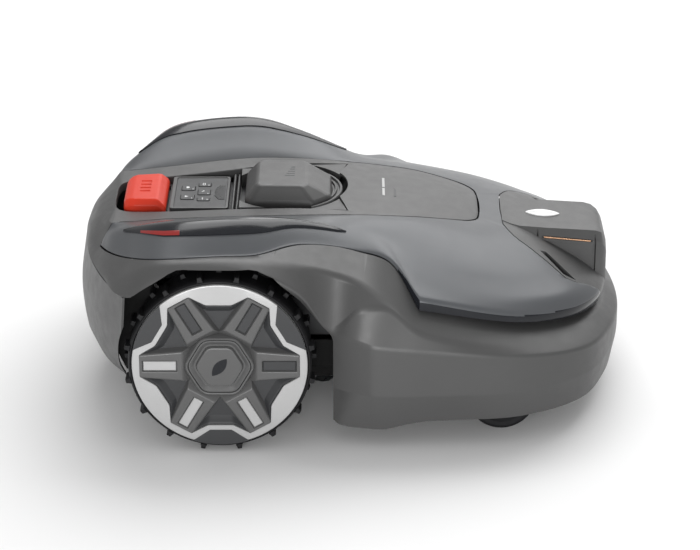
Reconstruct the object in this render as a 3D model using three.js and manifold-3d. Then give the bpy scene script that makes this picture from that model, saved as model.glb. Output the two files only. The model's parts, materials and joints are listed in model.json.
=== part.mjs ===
// Robotic lawn mower: a floating cover over a wheeled chassis with a height-adjustable cutting unit.
// Millimetres, +X forward, +Y left, +Z up. The origin is on the ground below the middle of the body.
import * as THREE from 'three';
import * as BufferGeometryUtils from 'three/addons/utils/BufferGeometryUtils.js';
import Module from 'manifold-3d';

const wasm = await Module();
wasm.setup();

// ---------------------------------------------------------------- driving dimensions
const GAP = 0.4;                 // clearance left between pieces that rest on each other
const SKIN = 2.6;                // wall thickness of the cover mouldings
const SEAM = 0.8;                // visible seam between two cover mouldings

const WHEEL = { x: -130.6, z: 97, tipR: 97, treadR: 92.5, beadR: 86.5, inY: 168, lugs: 16 };
const CASTER = { x: 162, y: 151, trail: 6, r: 35, width: 20, stemR: 6, stemTop: 96 };
const DISC = { x: 22, z: 26, r: 92, thick: 3, hubTop: 38, pivotR: 80 };
const BLADE = { length: 36, width: 17, thick: 0.8, z: 23, corner: 4, behindPivot: 7 };
const KNOB = { x: -68.5, r: 57, plateR: 54.5, roomR: 44, spindleR: 6 };
const STOP = { x0: -238, x1: -192.5, z0: 191, z1: 206.5, wellHalf: 41, wellFloor: 185.5 };
const CORE = { reach: 180, z: 60 };   // the spine that every cover wall is thickened towards

// ---------------------------------------------------------------- materials
const paint = (color, roughness, metalness = 0) =>
  new THREE.MeshStandardMaterial({ color, roughness, metalness });
const SATIN = paint(0x75787a, 0.38, 0.25);
const MATTE = paint(0x5a5a5b, 0.6);
const DARK = paint(0x3c3d3e, 0.55);
const BLACK = paint(0x18191a, 0.75);
const GLOSS = paint(0x2d3034, 0.12);
const SILVER = paint(0xaeb0b1, 0.35, 0.5);
const RED = paint(0xd9402f, 0.42);
const LENS = paint(0xb02a25, 0.15);
const COPPER = paint(0xd7a678, 0.3, 0.9);
const STEEL = paint(0xb8babd, 0.3, 0.9);
const GREEN = paint(0x2f5c3c, 0.6);

// ---------------------------------------------------------------- solid helpers
const object = new THREE.Group();

function toSolid(geometry) {
  const bare = geometry.index ? geometry.toNonIndexed() : geometry.clone();
  for (const name of Object.keys(bare.attributes)) {
    if (name !== 'position') bare.deleteAttribute(name);
  }
  const merged = BufferGeometryUtils.mergeVertices(bare, 1e-4);
  const mesh = new wasm.Mesh({
    numProp: 3,
    vertProperties: new Float32Array(merged.attributes.position.array),
    triVerts: new Uint32Array(merged.index.array),
  });
  return new wasm.Manifold(mesh);
}

function toGeometry(solid) {
  const mesh = solid.getMesh();
  const geometry = new THREE.BufferGeometry();
  geometry.setAttribute('position', new THREE.BufferAttribute(new Float32Array(mesh.vertProperties), 3));
  geometry.setIndex(new THREE.BufferAttribute(new Uint32Array(mesh.triVerts), 1));
  return geometry;
}

const join = (first, ...rest) => rest.reduce((sum, next) => sum.add(next), first);
const cut = (first, ...rest) => rest.reduce((sum, next) => sum.subtract(next), first);

// A box between two corners.
function box(x0, x1, y0, y1, z0, z1) {
  const geometry = new THREE.BoxGeometry(x1 - x0, y1 - y0, z1 - z0);
  geometry.translate((x0 + x1) / 2, (y0 + y1) / 2, (z0 + z1) / 2);
  return toSolid(geometry);
}

// An upright prism over a plan outline of [x, y] points.
function prism(outline, z0, z1) {
  const shape = new THREE.Shape(outline.map(([x, y]) => new THREE.Vector2(x, y)));
  const geometry = new THREE.ExtrudeGeometry(shape, { depth: z1 - z0, bevelEnabled: false });
  geometry.translate(0, 0, z0);
  return toSolid(geometry);
}

// A prism across the mower, over a side outline of [x, z] points, from y0 to y1.
function sidePrism(outline, y0, y1) {
  const shape = new THREE.Shape(outline.map(([x, z]) => new THREE.Vector2(x, z)));
  const geometry = new THREE.ExtrudeGeometry(shape, { depth: y1 - y0, bevelEnabled: false });
  geometry.rotateX(Math.PI / 2);
  geometry.translate(0, y1, 0);
  return toSolid(geometry);
}

// A turned solid about a vertical axis through x, y, from [radius, z] points.
function turned(profile, segments, x = 0, y = 0) {
  const geometry = new THREE.LatheGeometry(profile.map(([r, z]) => new THREE.Vector2(r, z)), segments);
  geometry.rotateX(Math.PI / 2);
  geometry.translate(x, y, 0);
  return toSolid(geometry);
}

// A turned solid about a wheel axle along Y at x, z, from [radius, y] points.
function turnedOnAxle(profile, segments, x, z) {
  const geometry = new THREE.LatheGeometry(profile.map(([r, y]) => new THREE.Vector2(r, y)), segments);
  geometry.translate(x, 0, z);
  return toSolid(geometry);
}

const disc = (r, z0, z1, x, y, segments = 32) => turned([[0, z0], [r, z0], [r, z1], [0, z1]], segments, x, y);
const axle = (r, y0, y1, x, z, segments = 24) =>
  turnedOnAxle([[0, y0], [r, y0], [r, y1], [0, y1]], segments, x, z);

// Places a piece; side is +1 for the left of the mower and -1 for its right, where it is mirrored.
function add(name, solid, material, side = 1) {
  const placed = side > 0 ? solid : solid.mirror([0, 1, 0]);
  const mesh = new THREE.Mesh(toGeometry(placed), material);
  mesh.name = name;
  object.add(mesh);
  return solid;
}

const SIDES = [['left', 1], ['right', -1]];
const mirrored = outline => [...outline, ...[...outline].reverse().map(([x, y]) => [x, -y])];

// ---------------------------------------------------------------- cover surfaces
// Each feature line of the body runs from the front centre, along one side, to the rear.
// Its points are [x, y, z] at the same stations on every line, so that lines join into panels.
const LINES = {
  // where the outer shell meets the console rails and the front hatch
  seam: [[137, 0, 184.5], [136, 22, 184.5], [133, 40, 185.3], [124, 50, 187.5], [105, 57, 192],
    [70, 66, 198.5], [38, 70.5, 201.9], [10, 73.5, 204], [-52, 80, 206.5], [-94, 82, 206.5],
    [-130, 80.5, 204.8], [-193, 74.5, 199.5], [-226, 73, 196.3], [-236, 72.9, 195.7],
    [-245, 73.5, 195.5]],
  valley: [[178, 0, 177], [178, 32, 176.5], [172, 62, 176], [158, 84, 175], [122, 96, 181], [70, 95, 193],
    [37.3, 92.5, 198.7], [10, 92, 203], [-52, 103, 213], [-94, 112, 217.5], [-130, 113, 217.5],
    [-193, 104, 209.5], [-226, 92, 201], [-239, 85, 195.8], [-249, 77, 189.5]],
  ridgeIn: [[205, 0, 165], [206, 38, 163.5], [200, 74, 163], [182, 104, 162], [136, 124, 170],
    [70, 122, 184], [36.8, 110.3, 192.9], [10, 103, 200.5], [-52, 117, 217.3], [-94, 128, 224.6],
    [-130, 128, 224.6], [-193, 122, 217], [-226, 103, 204.3], [-241, 91, 195.5], [-251.5, 80, 186.5]],
  crest: [[235, 0, 148], [236, 42, 145.5], [226, 82, 146], [204, 120, 146.5], [150, 146, 155.5],
    [70, 146, 174.5], [36.5, 126.3, 187.2], [10, 113, 198], [-52, 127, 219], [-94, 144, 227],
    [-130, 146, 227.9], [-193, 138, 219.6], [-226, 112, 203.8], [-242.5, 96.5, 194], [-253, 82, 184]],
  shoulder: [[258, 0, 130], [258, 44, 129], [246, 86, 133], [219, 130, 137.5], [160, 160, 146.5],
    [70, 166, 165.5], [36.3, 140.2, 181.7], [10, 122, 195], [-52, 137, 214.5], [-94, 159, 219.5],
    [-130, 165, 220.3], [-193, 155, 214.5], [-226, 122, 200.5], [-243.5, 103, 190.8],
    [-254.5, 84, 181.5]],
  lip: [[273, 0, 114], [269, 42, 115], [259, 84, 120], [230, 130, 126.5], [168, 170, 138],
    [70, 184, 158.5], [36.1, 153, 176.8], [10, 131, 191], [-52, 150, 206], [-94, 176, 205.6],
    [-130, 183, 206.8], [-193, 182, 204], [-226, 145, 190.5], [-244.5, 116, 183.5], [-256, 87, 178]],
  lipFoot: [[272, 0, 105], [268, 43, 106], [258.5, 86, 111], [230, 134, 117], [168, 174, 129],
    [70, 187, 148], [36.1, 155.3, 171.3], [10, 133, 189.6], [-52, 152, 205.2], [-94, 178, 205],
    [-130, 185, 206.4], [-193, 184, 203], [-227, 147, 189.5], [-245.5, 117.5, 182.3],
    [-257, 87.5, 176.5]],
};

// The lower body, from the seam below the shell down to the bottom edge of the bumper.
const SKIRT = {
  top: [[271, 0, 98.5], [267, 40, 98.5], [256, 83, 101], [226, 130, 107], [165, 167, 119.5],
    [70, 181, 141], [36.2, 153.7, 167.8], [10, 134.6, 188.6], [-52, 153.6, 204.6], [-94, 179.6, 204.6],
    [-130, 186.6, 206.2], [-193, 185.6, 202.3], [-228, 148.6, 188.7], [-246.5, 119, 181.2],
    [-258, 88.3, 175.2]],
  crease: [[280, 0, 94], [276, 41, 94.5], [266, 87, 96.5], [236, 141, 102], [171, 184, 115],
    [70, 194, 134], [36.1, 183, 155.4], [10, 175, 173], [-52, 184, 194.3], [-94, 192.5, 204],
    [-130, 196.5, 205.8], [-193, 196, 200.2], [-230, 172, 180.5], [-249, 134, 174.8], [-262, 90, 170.5]],
  flank: [[284, 0, 89], [281, 42, 89.5], [270.5, 89, 92], [241, 148, 96.5], [175, 193, 107.5],
    [70, 204, 121], [36, 203.8, 140], [10, 202.5, 155], [-52, 203.5, 176], [-94, 206.5, 196.5],
    [-130, 207, 199.3], [-193, 206, 190], [-229, 190, 174.5], [-250, 144, 169.6], [-265, 90.6, 167]],
  belt: [[286, 0, 83.5], [283, 43, 84.5], [272.5, 91, 87], [243, 153, 92], [176, 196.5, 101.5],
    [70, 208.5, 111.5], [36, 209.4, 115.2], [10, 206.5, 119], [-40, 163, 124], [-94, 209.5, 180],
    [-130, 209.5, 185], [-193, 209.5, 178], [-226, 203, 170.8], [-249.5, 150, 166.8],
    [-267.5, 91, 163.8]],
};

// The lower part of the bumper wall, straight down from the belt, in front of the wheels only.
const WALL_STATIONS = 9;
const WALL = {
  lowCrease: SKIRT.belt.slice(0, WALL_STATIONS).map(([x, y]) => [x, y, 62]),
  foot: [[283.5, 0, 33.5], [280.5, 43, 33.5], [270, 90, 33.5], [241, 151.5, 33.5], [175, 194.5, 33.5],
    [70, 206.5, 32], [36, 208.4, 23.5], [10, 205.5, 23.5], [-40, 162, 23.5]],
};

// The ledge under the lip of the hood runs inwards from the top of the skirt, in front of the wheels only.
const LEDGE_STATIONS = 6;
const LEDGE_BACK = [[256, 0, 103], [252, 38, 103], [241, 78, 105.5], [213, 119, 112], [158, 151, 125],
  [66, 165, 147]];

// The console rails, from the rear edge of the hatch to the rear centre.
const RAIL = {
  inner: [[-3, 65, 205.8], [-52, 62.5, 207.3], [-94, 59.5, 205.5], [-130, 54.5, 202.5],
    [-193, 48.5, 197.6], [-226, 44, 195.6], [-236, 41, 195.3], [-243, 34, 195.2], [-246, 18, 195.6],
    [-246, 0, 195.8]],
  outer: [[-3, 73.4, 204.6], [-52, 79.2, 206.6], [-94, 81.2, 206.6], [-130, 79.7, 204.9],
    [-193, 73.7, 199.6], [-226, 72.1, 196.4], [-236, 71.4, 195.7], [-246, 72.7, 194.9], [-253, 36, 192],
    [-254, 0, 192]],
};

// The rear deck rolls from the rails down to the seam of the rear bumper.
const DECK = {
  roll: [[-251, 78, 187.5], [-264, 40, 183.5], [-266, 0, 183.5]],
  face: [[-258, 88.3, 175.2], [-271, 42, 174.5], [-273, 0, 174.5]],
  crease: [[-262, 90, 170.5], [-273.5, 42.5, 170.2], [-275.5, 0, 170.6]],
  flank: [[-265, 90.6, 167], [-274.8, 42.8, 166.6], [-277, 0, 167.4]],
  seam: [[-267.5, 91, 163.8], [-275.5, 43, 163.8], [-278, 0, 165]],
};

const BUMPER = {
  top: [[-226, 203, 168.8], [-249.5, 150, 165.2], [-267.5, 91, 163], [-275.5, 43, 163], [-278, 0, 164.2]],
  middle: [[-229, 202, 128], [-254.5, 148, 124], [-273, 88, 118], [-282.5, 43, 115], [-286, 0, 114]],
  waist: [[-231, 190, 90], [-254, 135, 85], [-272, 80, 83], [-281, 38, 83], [-284.5, 0, 83]],
  foot: [[-228, 163, 64], [-250, 125, 64], [-267, 76, 64], [-278, 37, 64], [-281.5, 0, 64]],
};

const toVector = ([x, y, z]) => new THREE.Vector3(x, y, z);

// Smooths a half line, from a centre point to one side, into points across both sides.
function acrossBothSides(half, steps) {
  const flipped = [...half].reverse().map(([x, y, z]) => [x, -y, z]);
  const whole = [...flipped, ...half.slice(1)];
  return new THREE.CatmullRomCurve3(whole.map(toVector), false, 'centripetal')
    .getPoints(steps * (whole.length - 1));
}

// Moves a point on the cover inwards, towards the spine.
function inward(point, thickness) {
  const spineX = THREE.MathUtils.clamp(point.x, -CORE.reach, CORE.reach);
  const direction = new THREE.Vector3(spineX, 0, CORE.z).sub(point).normalize();
  return point.clone().addScaledVector(direction, thickness);
}

// A closed wall of even thickness over a grid of points: rows are feature lines, columns are stations.
// The columns run clockwise seen from above the cover where outwards is true.
function wall(rows, outwards, thickness = SKIN) {
  const height = rows.length;
  const width = rows[0].length;
  const points = [...rows.flat(), ...rows.flat().map(point => inward(point, thickness))];
  const outer = (i, j) => i * width + j;
  const inner = (i, j) => height * width + i * width + j;
  const index = [];
  const quad = (a, b, c, d) => index.push(...(outwards ? [a, b, c, a, c, d] : [a, c, b, a, d, c]));
  for (let i = 0; i + 1 < height; i += 1) {
    for (let j = 0; j + 1 < width; j += 1) {
      quad(outer(i, j), outer(i + 1, j), outer(i + 1, j + 1), outer(i, j + 1));
      quad(inner(i, j), inner(i, j + 1), inner(i + 1, j + 1), inner(i + 1, j));
    }
    quad(outer(i, 0), inner(i, 0), inner(i + 1, 0), outer(i + 1, 0));
    quad(inner(i + 1, width - 1), inner(i, width - 1), outer(i, width - 1), outer(i + 1, width - 1));
  }
  for (let j = 0; j + 1 < width; j += 1) {
    quad(outer(0, j + 1), inner(0, j + 1), inner(0, j), outer(0, j));
    quad(inner(height - 1, j), inner(height - 1, j + 1), outer(height - 1, j + 1), outer(height - 1, j));
  }
  const geometry = new THREE.BufferGeometry();
  const snapped = points.flatMap(p => [p.x, p.y, p.z]).map(value => Math.round(value * 1000) / 1000);
  geometry.setAttribute('position', new THREE.Float32BufferAttribute(snapped, 3));
  geometry.setIndex(index);
  return toSolid(geometry);
}

// ---------------------------------------------------------------- cover pieces
const STEPS = 2;                 // panels between two stations
const BAY = { rear: -222.5, front: -17, top: 199.5 };
const wheelArch = [[BAY.rear, -5], [BAY.rear, 170.5], [-178, 197], [-168, BAY.top], [-97, BAY.top],
  [-78, 192], [-50, 163], [-26, 127], [BAY.front, 119], [BAY.front, -5]];
const WHEEL_ROOM = 6;            // radial room round the tyre inside the rear bumper
const wheelClearance = axle(WHEEL.tipR + WHEEL_ROOM, 160, 230, WHEEL.x, WHEEL.z, 40);
const NOSE_PLAN = [[166, 0], [166, 38], [171, 45], [252, 46], [262, 40], [268, 26], [270, 0]];
const NOSE_ROOM_PLAN = [[160, 0], [163, 35], [173, 42], [251, 43], [259.5, 38], [265, 24.5], [267, 0]];
const NOSE_SIDE = [[160, 174], [160, 184], [166, 180.5], [178, 175.5], [250, 172], [262, 170], [268, 164],
  [274, 112], [274, 103], [260, 103], [256, 122], [240, 138], [205, 158], [178, 170]];
const FAIRING_PLAN = [[160, 0], [164, 40], [169.5, 60], [176, 67], [194, 80], [223, 98], [234, 96],
  [262, 75], [300, 75], [300, 0]];

const flippedY = solid => solid.mirror([0, 1, 0]);
const onBothSides = solid => solid.add(flippedY(solid));
const grown = (outline, amount) => outline.map(([x, y]) => [x - amount, y === 0 ? 0 : y + amount]);

const hoodRows = Object.values(LINES).map(line => acrossBothSides(line, STEPS));
const hood = wall(hoodRows, true);
add('top_shell', hood.subtract(prism(mirrored(grown(FAIRING_PLAN, SEAM)), 80, 200)), SATIN);

const skirtRows = Object.values(SKIRT).map(line => acrossBothSides(line, STEPS));
const beltMiddle = (skirtRows[3].length - 1) / 2;
const wallReach = (WALL_STATIONS - 1) * STEPS;
const wallRows = [
  skirtRows[3].slice(beltMiddle - wallReach, beltMiddle + wallReach + 1),
  ...Object.values(WALL).map(line => acrossBothSides(line, STEPS)),
];
const railRows = Object.values(RAIL).map(line => acrossBothSides([...line].reverse(), STEPS));
const railMiddle = (railRows[1].length - 1) / 2;
const deckReach = 2 * STEPS;
const deckRows = [
  railRows[1].slice(railMiddle - deckReach, railMiddle + deckReach + 1),
  ...Object.values(DECK).map(line => acrossBothSides([...line].reverse(), STEPS)),
];
const ledgeReach = (LEDGE_STATIONS - 1) * STEPS;
const ledgeRows = [
  acrossBothSides(LEDGE_BACK, STEPS),
  skirtRows[0].slice(beltMiddle - ledgeReach, beltMiddle + ledgeReach + 1),
];
const bodyCover = join(
  wall(skirtRows, true),
  wall(wallRows, true),
  wall(ledgeRows, true),
  wall(railRows, false),
  wall(deckRows, false),
);
const archCutter = onBothSides(sidePrism(wheelArch, 140, 230));
add('body_cover', bodyCover.subtract(archCutter), MATTE);

const bumperRows = Object.values(BUMPER).map(line => acrossBothSides([...line].reverse(), STEPS));
add('rear_bumper', wall(bumperRows, false).subtract(onBothSides(wheelClearance)), MATTE);

// The front hatch between the rails and the hood, from its rear tab to its front edge.
// Each station is [x, half width, edge height, centre height].
const HATCH = [[-14, 57, 206.6, 209], [-2.4, 62.5, 205.9, 208.6], [-2.2, 72.4, 204.8, 208.6],
  [10, 72.6, 203.9, 207.8], [70, 65.1, 198.5, 201.8], [105, 56.1, 192, 195.2], [123, 48.6, 187.8, 190.4],
  [132, 39.2, 185.5, 187.4], [135.2, 23, 184.6, 185.6]];
const HATCH_ROWS = [1, 0.75, 0.4, 0, -0.4, -0.75, -1];
const hatchRows = HATCH_ROWS.map(share => HATCH.map(([x, half, edge, middle]) =>
  new THREE.Vector3(x, share * half, middle - (middle - edge) * share * share)));
const HATCH_CLEAR = 5;           // room between the knob and the edge of the hatch
const hatchHollow = disc(KNOB.r + HATCH_CLEAR, 180, 230, KNOB.x, 0, 64);
add('front_hatch', wall(hatchRows, true).subtract(hatchHollow), MATTE);

// The front fairing is the hood's own surface inside the fairing outline, with a raised nose on top.
const NOSE_WALL = 3;
const noseShell = prism(mirrored(NOSE_PLAN), 90, 190).intersect(sidePrism(NOSE_SIDE, -60, 60));
const noseRoom = prism(mirrored(NOSE_ROOM_PLAN), 90, 190)
  .intersect(sidePrism(NOSE_SIDE.map(([x, z]) => [x, z > 150 ? z - NOSE_WALL : z - 20]), -60, 60));
const fairingBase = hood.intersect(prism(mirrored(FAIRING_PLAN), 80, 200));
add('front_fairing', join(fairingBase, noseShell).subtract(noseRoom), MATTE);

// Charging contacts lie along the sides of the nose, under its top edge.
const CONTACT = [[203, 167], [252, 162], [252, 165], [203, 170]];
const NOSE_HALF = 46;
for (const [label, side] of SIDES) {
  const contact = sidePrism(CONTACT, NOSE_HALF + GAP, NOSE_HALF + 2.2);
  add(`charging_contact_${label}`, contact, COPPER, side);
}

// A plain badge plate lies on the sloping top of the nose.
const NOSE_SLOPE = (172 - 175.5) / (250 - 178);
const noseTop = x => 175.5 + (x - 178) * NOSE_SLOPE;
const badgeSide = [[186, GAP], [222, GAP], [222, 1.4], [186, 1.4]].map(([x, up]) => [x, noseTop(x) + up]);
add('badge_plate', sidePrism(badgeSide, -13, 13), SILVER);

// ---------------------------------------------------------------- ridge trims and tail lamps
// A glossy strip caps each shoulder ridge and narrows to a point at both ends.
const STRIP = { rear: -232, front: -4, tail: 45, nose: 75, lift: 2.1, thick: 1.1 };
const LAMP = { rear: -214, front: -154, tail: 30, nose: 30, lift: 3.3, thick: 0.8 };
const ridgeColumns = hoodRows[2].map((point, i) => [point, hoodRows[3][i], hoodRows[4][i]])
  .filter(([, crest]) => crest.y > 0);
const taper = (x, rear, front, tail, nose) =>
  Math.sqrt(THREE.MathUtils.clamp(Math.min((x - rear) / tail, (front - x) / nose), 0, 1));

function ridgeSheet({ rear, front, lift, thick }, tail, nose, reachIn, reachOut) {
  const columns = ridgeColumns.filter(([, crest]) => crest.x > rear && crest.x < front);
  const rows = [reachIn, 0, reachOut].map(reach => columns.map(([inner, crest, outer]) => {
    const width = taper(crest.x, rear, front, tail, nose) * Math.abs(reach);
    const aim = reach < 0 ? inner : outer;
    return inward(crest.clone().lerp(aim, width), -lift);
  }));
  return wall(rows, true, thick);
}

for (const [label, side] of SIDES) {
  add(`ridge_strip_${label}`, ridgeSheet(STRIP, STRIP.tail, STRIP.nose, -1, 0.97), GLOSS, side);
  add(`tail_lamp_${label}`, ridgeSheet(LAMP, LAMP.tail, LAMP.nose, 0, 0.7), LENS, side);
}

// ---------------------------------------------------------------- driven rear wheels
const spokeAngles = Array.from({ length: 6 }, (_, i) => i * Math.PI / 3);

// Turns a solid about the wheel axle.
function aboutAxle(solid, angle) {
  return solid.translate([-WHEEL.x, 0, -WHEEL.z]).rotate([0, THREE.MathUtils.radToDeg(angle), 0])
    .translate([WHEEL.x, 0, WHEEL.z]);
}

const LUG = { width: 5, root: 91.5, rows: [[168.5, 186.5], [189.5, 207]] };
function tyre() {
  const band = turnedOnAxle([[WHEEL.beadR + GAP, WHEEL.inY], [90.5, WHEEL.inY], [WHEEL.treadR, 172],
    [WHEEL.treadR, 203], [90.6, 207.5], [89, 207.5], [89, 205.8], [WHEEL.beadR + GAP, 205.8],
    [WHEEL.beadR + GAP, WHEEL.inY]], 32, WHEEL.x, WHEEL.z);
  const lugs = LUG.rows.flatMap(([y0, y1], row) => Array.from({ length: WHEEL.lugs }, (_, i) => {
    const lug = box(WHEEL.x - LUG.width / 2, WHEEL.x + LUG.width / 2, y0, y1,
      WHEEL.z - WHEEL.tipR, WHEEL.z - LUG.root);
    return aboutAxle(lug, (i + row / 2) * 2 * Math.PI / WHEEL.lugs);
  }));
  return join(band, ...lugs);
}

const AXLE_R = 5;
const BORE_R = AXLE_R + GAP;
const rim = () => turnedOnAxle([[BORE_R, 164], [15, 164], [15, 183], [70, 183], [79, 170], [WHEEL.beadR, 170],
  [WHEEL.beadR, 204.6], [82, 204.6], [80, 189], [BORE_R, 189], [BORE_R, 164]], 24, WHEEL.x, WHEEL.z);
const trimPlate = () => turnedOnAxle([[24, 189.4], [78, 189.4], [80.4, 205], [88.2, 206.2], [88.2, 208.6],
  [78.5, 208.6], [76, 192], [24, 192], [24, 189.4]], 24, WHEEL.x, WHEEL.z);

function wheelCover() {
  const plate = turnedOnAxle([[0, 203.5], [75, 201], [77.6, 209], [60, 210.5], [38, 208.5], [0, 208.5]],
    24, WHEEL.x, WHEEL.z);
  const slots = spokeAngles.map(angle => aboutAxle(
    box(WHEEL.x + 44, WHEEL.x + 72, 195, 215, WHEEL.z - 4.5, WHEEL.z + 4.5), angle));
  const notches = spokeAngles.map(angle => aboutAxle(
    box(WHEEL.x + 70, WHEEL.x + 90, 195, 215, WHEEL.z - 13, WHEEL.z + 13), angle + Math.PI / 6));
  return cut(plate, ...slots, ...notches);
}
const hubCap = () => turnedOnAxle([[0, 208.9], [36, 208.9], [36, 210.5], [27, 213], [0, 213]], 6,
  WHEEL.x, WHEEL.z);

for (const [label, side] of SIDES) {
  add(`tyre_${label}`, tyre(), BLACK, side);
  add(`wheel_rim_${label}`, rim(), DARK, side);
  add(`wheel_trim_${label}`, trimPlate(), SILVER, side);
  add(`wheel_cover_${label}`, wheelCover(), MATTE, side);
  add(`hub_cap_${label}`, hubCap(), DARK, side);
  add(`drive_axle_${label}`, axle(AXLE_R, 158.5, 203, WHEEL.x, WHEEL.z, 16), STEEL, side);
}

// ---------------------------------------------------------------- chassis
const PAN_PLAN = [[-214, 0], [-214, 100], [-196, 150], [60, 150], [108, 104], [205, 104], [222, 70],
  [222, 0]];
const LID_PLAN = [[-204, 0], [-204, 92], [-186, 138], [44, 138], [96, 98], [176, 98], [186, 80],
  [186, 0]];
const PAN = { z0: 44, z1: 98, skin: 3 };
const LID = { z1: 140, skin: 3 };
const CHAMBER = { r: 116, roof: 72, wall: 3, hole: 31, flange: 7 };
const MOTOR = { gearR: 26, bodyR: 17, outY: 158, midY: 112, inY: 72 };
const insetPlan = (outline, amount) => outline.map(([x, y]) =>
  [x - Math.sign(x) * amount, y === 0 ? 0 : y - amount]);

const motorNotch = onBothSides(axle(MOTOR.gearR + GAP, 60, 170, WHEEL.x, WHEEL.z, 20));
const stemHole = disc(CASTER.stemR + 0.5, 70, 100, CASTER.x, CASTER.y, 20);
const bracketArm = box(CASTER.x - 16, CASTER.x + 16, 100, 170, 80, 94).subtract(stemHole);
const chamberShell = disc(CHAMBER.r + CHAMBER.wall, PAN.z0, CHAMBER.roof + CHAMBER.wall, DISC.x, 0, 32);
const chamberRoom = disc(CHAMBER.r, PAN.z0 - 1, CHAMBER.roof, DISC.x, 0, 32);
const chamberHole = disc(CHAMBER.r + CHAMBER.wall + GAP, 0, 120, DISC.x, 0, 32);
const chamberFlange = disc(CHAMBER.r + CHAMBER.wall + CHAMBER.flange, PAN.z0 + PAN.skin + GAP,
  PAN.z0 + 2 * PAN.skin, DISC.x, 0, 32);
const panTray = prism(mirrored(PAN_PLAN), PAN.z0, PAN.z1)
  .subtract(prism(mirrored(insetPlan(PAN_PLAN, PAN.skin)), PAN.z0 + PAN.skin, PAN.z1 + 1));
add('chassis_pan', cut(join(panTray, onBothSides(bracketArm)), chamberHole, motorNotch), DARK);
add('cutting_chamber', cut(join(chamberShell, chamberFlange), chamberRoom,
  disc(CHAMBER.hole, 0, 120, DISC.x, 0, 24)), DARK);

const spindleHole = disc(KNOB.spindleR + 1, 100, 200, KNOB.x, 0, 20);
const lidShell = prism(mirrored(LID_PLAN), PAN.z1 + GAP, LID.z1)
  .subtract(prism(mirrored(insetPlan(LID_PLAN, LID.skin)), PAN.z1, LID.z1 - LID.skin));
add('chassis_lid', cut(lidShell, spindleHole, motorNotch), DARK);

add('battery_pack', box(150, 214, -58, 58, PAN.z0 + PAN.skin + GAP, 92), GREEN);
add('main_board', box(-200, -160, -60, 60, 112, 114), GREEN);

for (const [label, side] of SIDES) {
  const motor = turnedOnAxle([[0, MOTOR.inY], [MOTOR.bodyR, MOTOR.inY], [MOTOR.bodyR, MOTOR.midY],
    [MOTOR.gearR, MOTOR.midY], [MOTOR.gearR, MOTOR.outY], [0, MOTOR.outY]], 20, WHEEL.x, WHEEL.z);
  add(`drive_motor_${label}`, motor, STEEL, side);
}

// ---------------------------------------------------------------- front casters
const CASTER_AXLE = { r: 4, half: 15 };
function casterFork() {
  const crown = disc(17, 73.5, 79.5, CASTER.x, CASTER.y, 16);
  const stem = disc(CASTER.stemR, 79, CASTER.stemTop, CASTER.x, CASTER.y, 12);
  const leg = sidePrism([[146, 28], [160, 28], [174, 62], [174, 74], [150, 74], [146, 40]], 0, 3.4);
  const legs = [10.8, -14.2].map(offset => leg.translate([0, CASTER.y + offset, 0]));
  const bore = axle(CASTER_AXLE.r + GAP, 120, 180, CASTER.x - CASTER.trail, CASTER.r, 10);
  return cut(join(crown, stem, ...legs), bore);
}
const casterProfile = [[CASTER_AXLE.r + GAP, 0], [30, 1], [CASTER.r, 5], [CASTER.r, CASTER.width - 5],
  [30, CASTER.width - 1], [CASTER_AXLE.r + GAP, CASTER.width], [CASTER_AXLE.r + GAP, 0]]
  .map(([r, y]) => [r, y + CASTER.y - CASTER.width / 2]);
const casterWheel = () => turnedOnAxle(casterProfile, 24, CASTER.x - CASTER.trail, CASTER.r);
for (const [label, side] of SIDES) {
  add(`caster_fork_${label}`, casterFork(), DARK, side);
  add(`caster_wheel_${label}`, casterWheel(), BLACK, side);
  add(`caster_axle_${label}`, axle(CASTER_AXLE.r, CASTER.y - CASTER_AXLE.half, CASTER.y + CASTER_AXLE.half,
    CASTER.x - CASTER.trail, CASTER.r, 16), STEEL, side);
}

// ---------------------------------------------------------------- cutting unit
const SHAFT_R = 4;
const bladeAngles = Array.from({ length: 3 }, (_, i) => i * 2 * Math.PI / 3);
const aboutDisc = (solid, angle) => solid.translate([-DISC.x, 0, 0])
  .rotate([0, 0, THREE.MathUtils.radToDeg(angle)]).translate([DISC.x, 0, 0]);

const carriage = turned([[24.4, 42], [29, 42], [29, 82], [44, 82], [44, 86], [29, 86], [29, 96], [24.4, 96],
  [24.4, 42]], 24, DISC.x, 0);
add('motor_carriage', carriage, DARK);
add('blade_motor', disc(24, 46, 98, DISC.x, 0, 32), STEEL);

const discHub = turned([[SHAFT_R + GAP, DISC.z], [DISC.r, DISC.z], [DISC.r, DISC.z + DISC.thick],
  [16, DISC.z + DISC.thick], [13, DISC.hubTop], [SHAFT_R + GAP, DISC.hubTop], [SHAFT_R + GAP, DISC.z]],
  28, DISC.x, 0);
const pivotHole = disc(3 + GAP, 0, 60, DISC.x + DISC.pivotR, 0, 12);
add('blade_disc', cut(discHub, ...bladeAngles.map(angle => aboutDisc(pivotHole, angle))), DARK);
add('blade_shaft', disc(SHAFT_R, 13, 45.6, DISC.x, 0, 16), STEEL);
add('skid_plate', turned([[SHAFT_R + GAP, 16], [58, 16], [70, 19], [SHAFT_R + GAP, 19], [SHAFT_R + GAP, 16]],
  24, DISC.x, 0), DARK);

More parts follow.
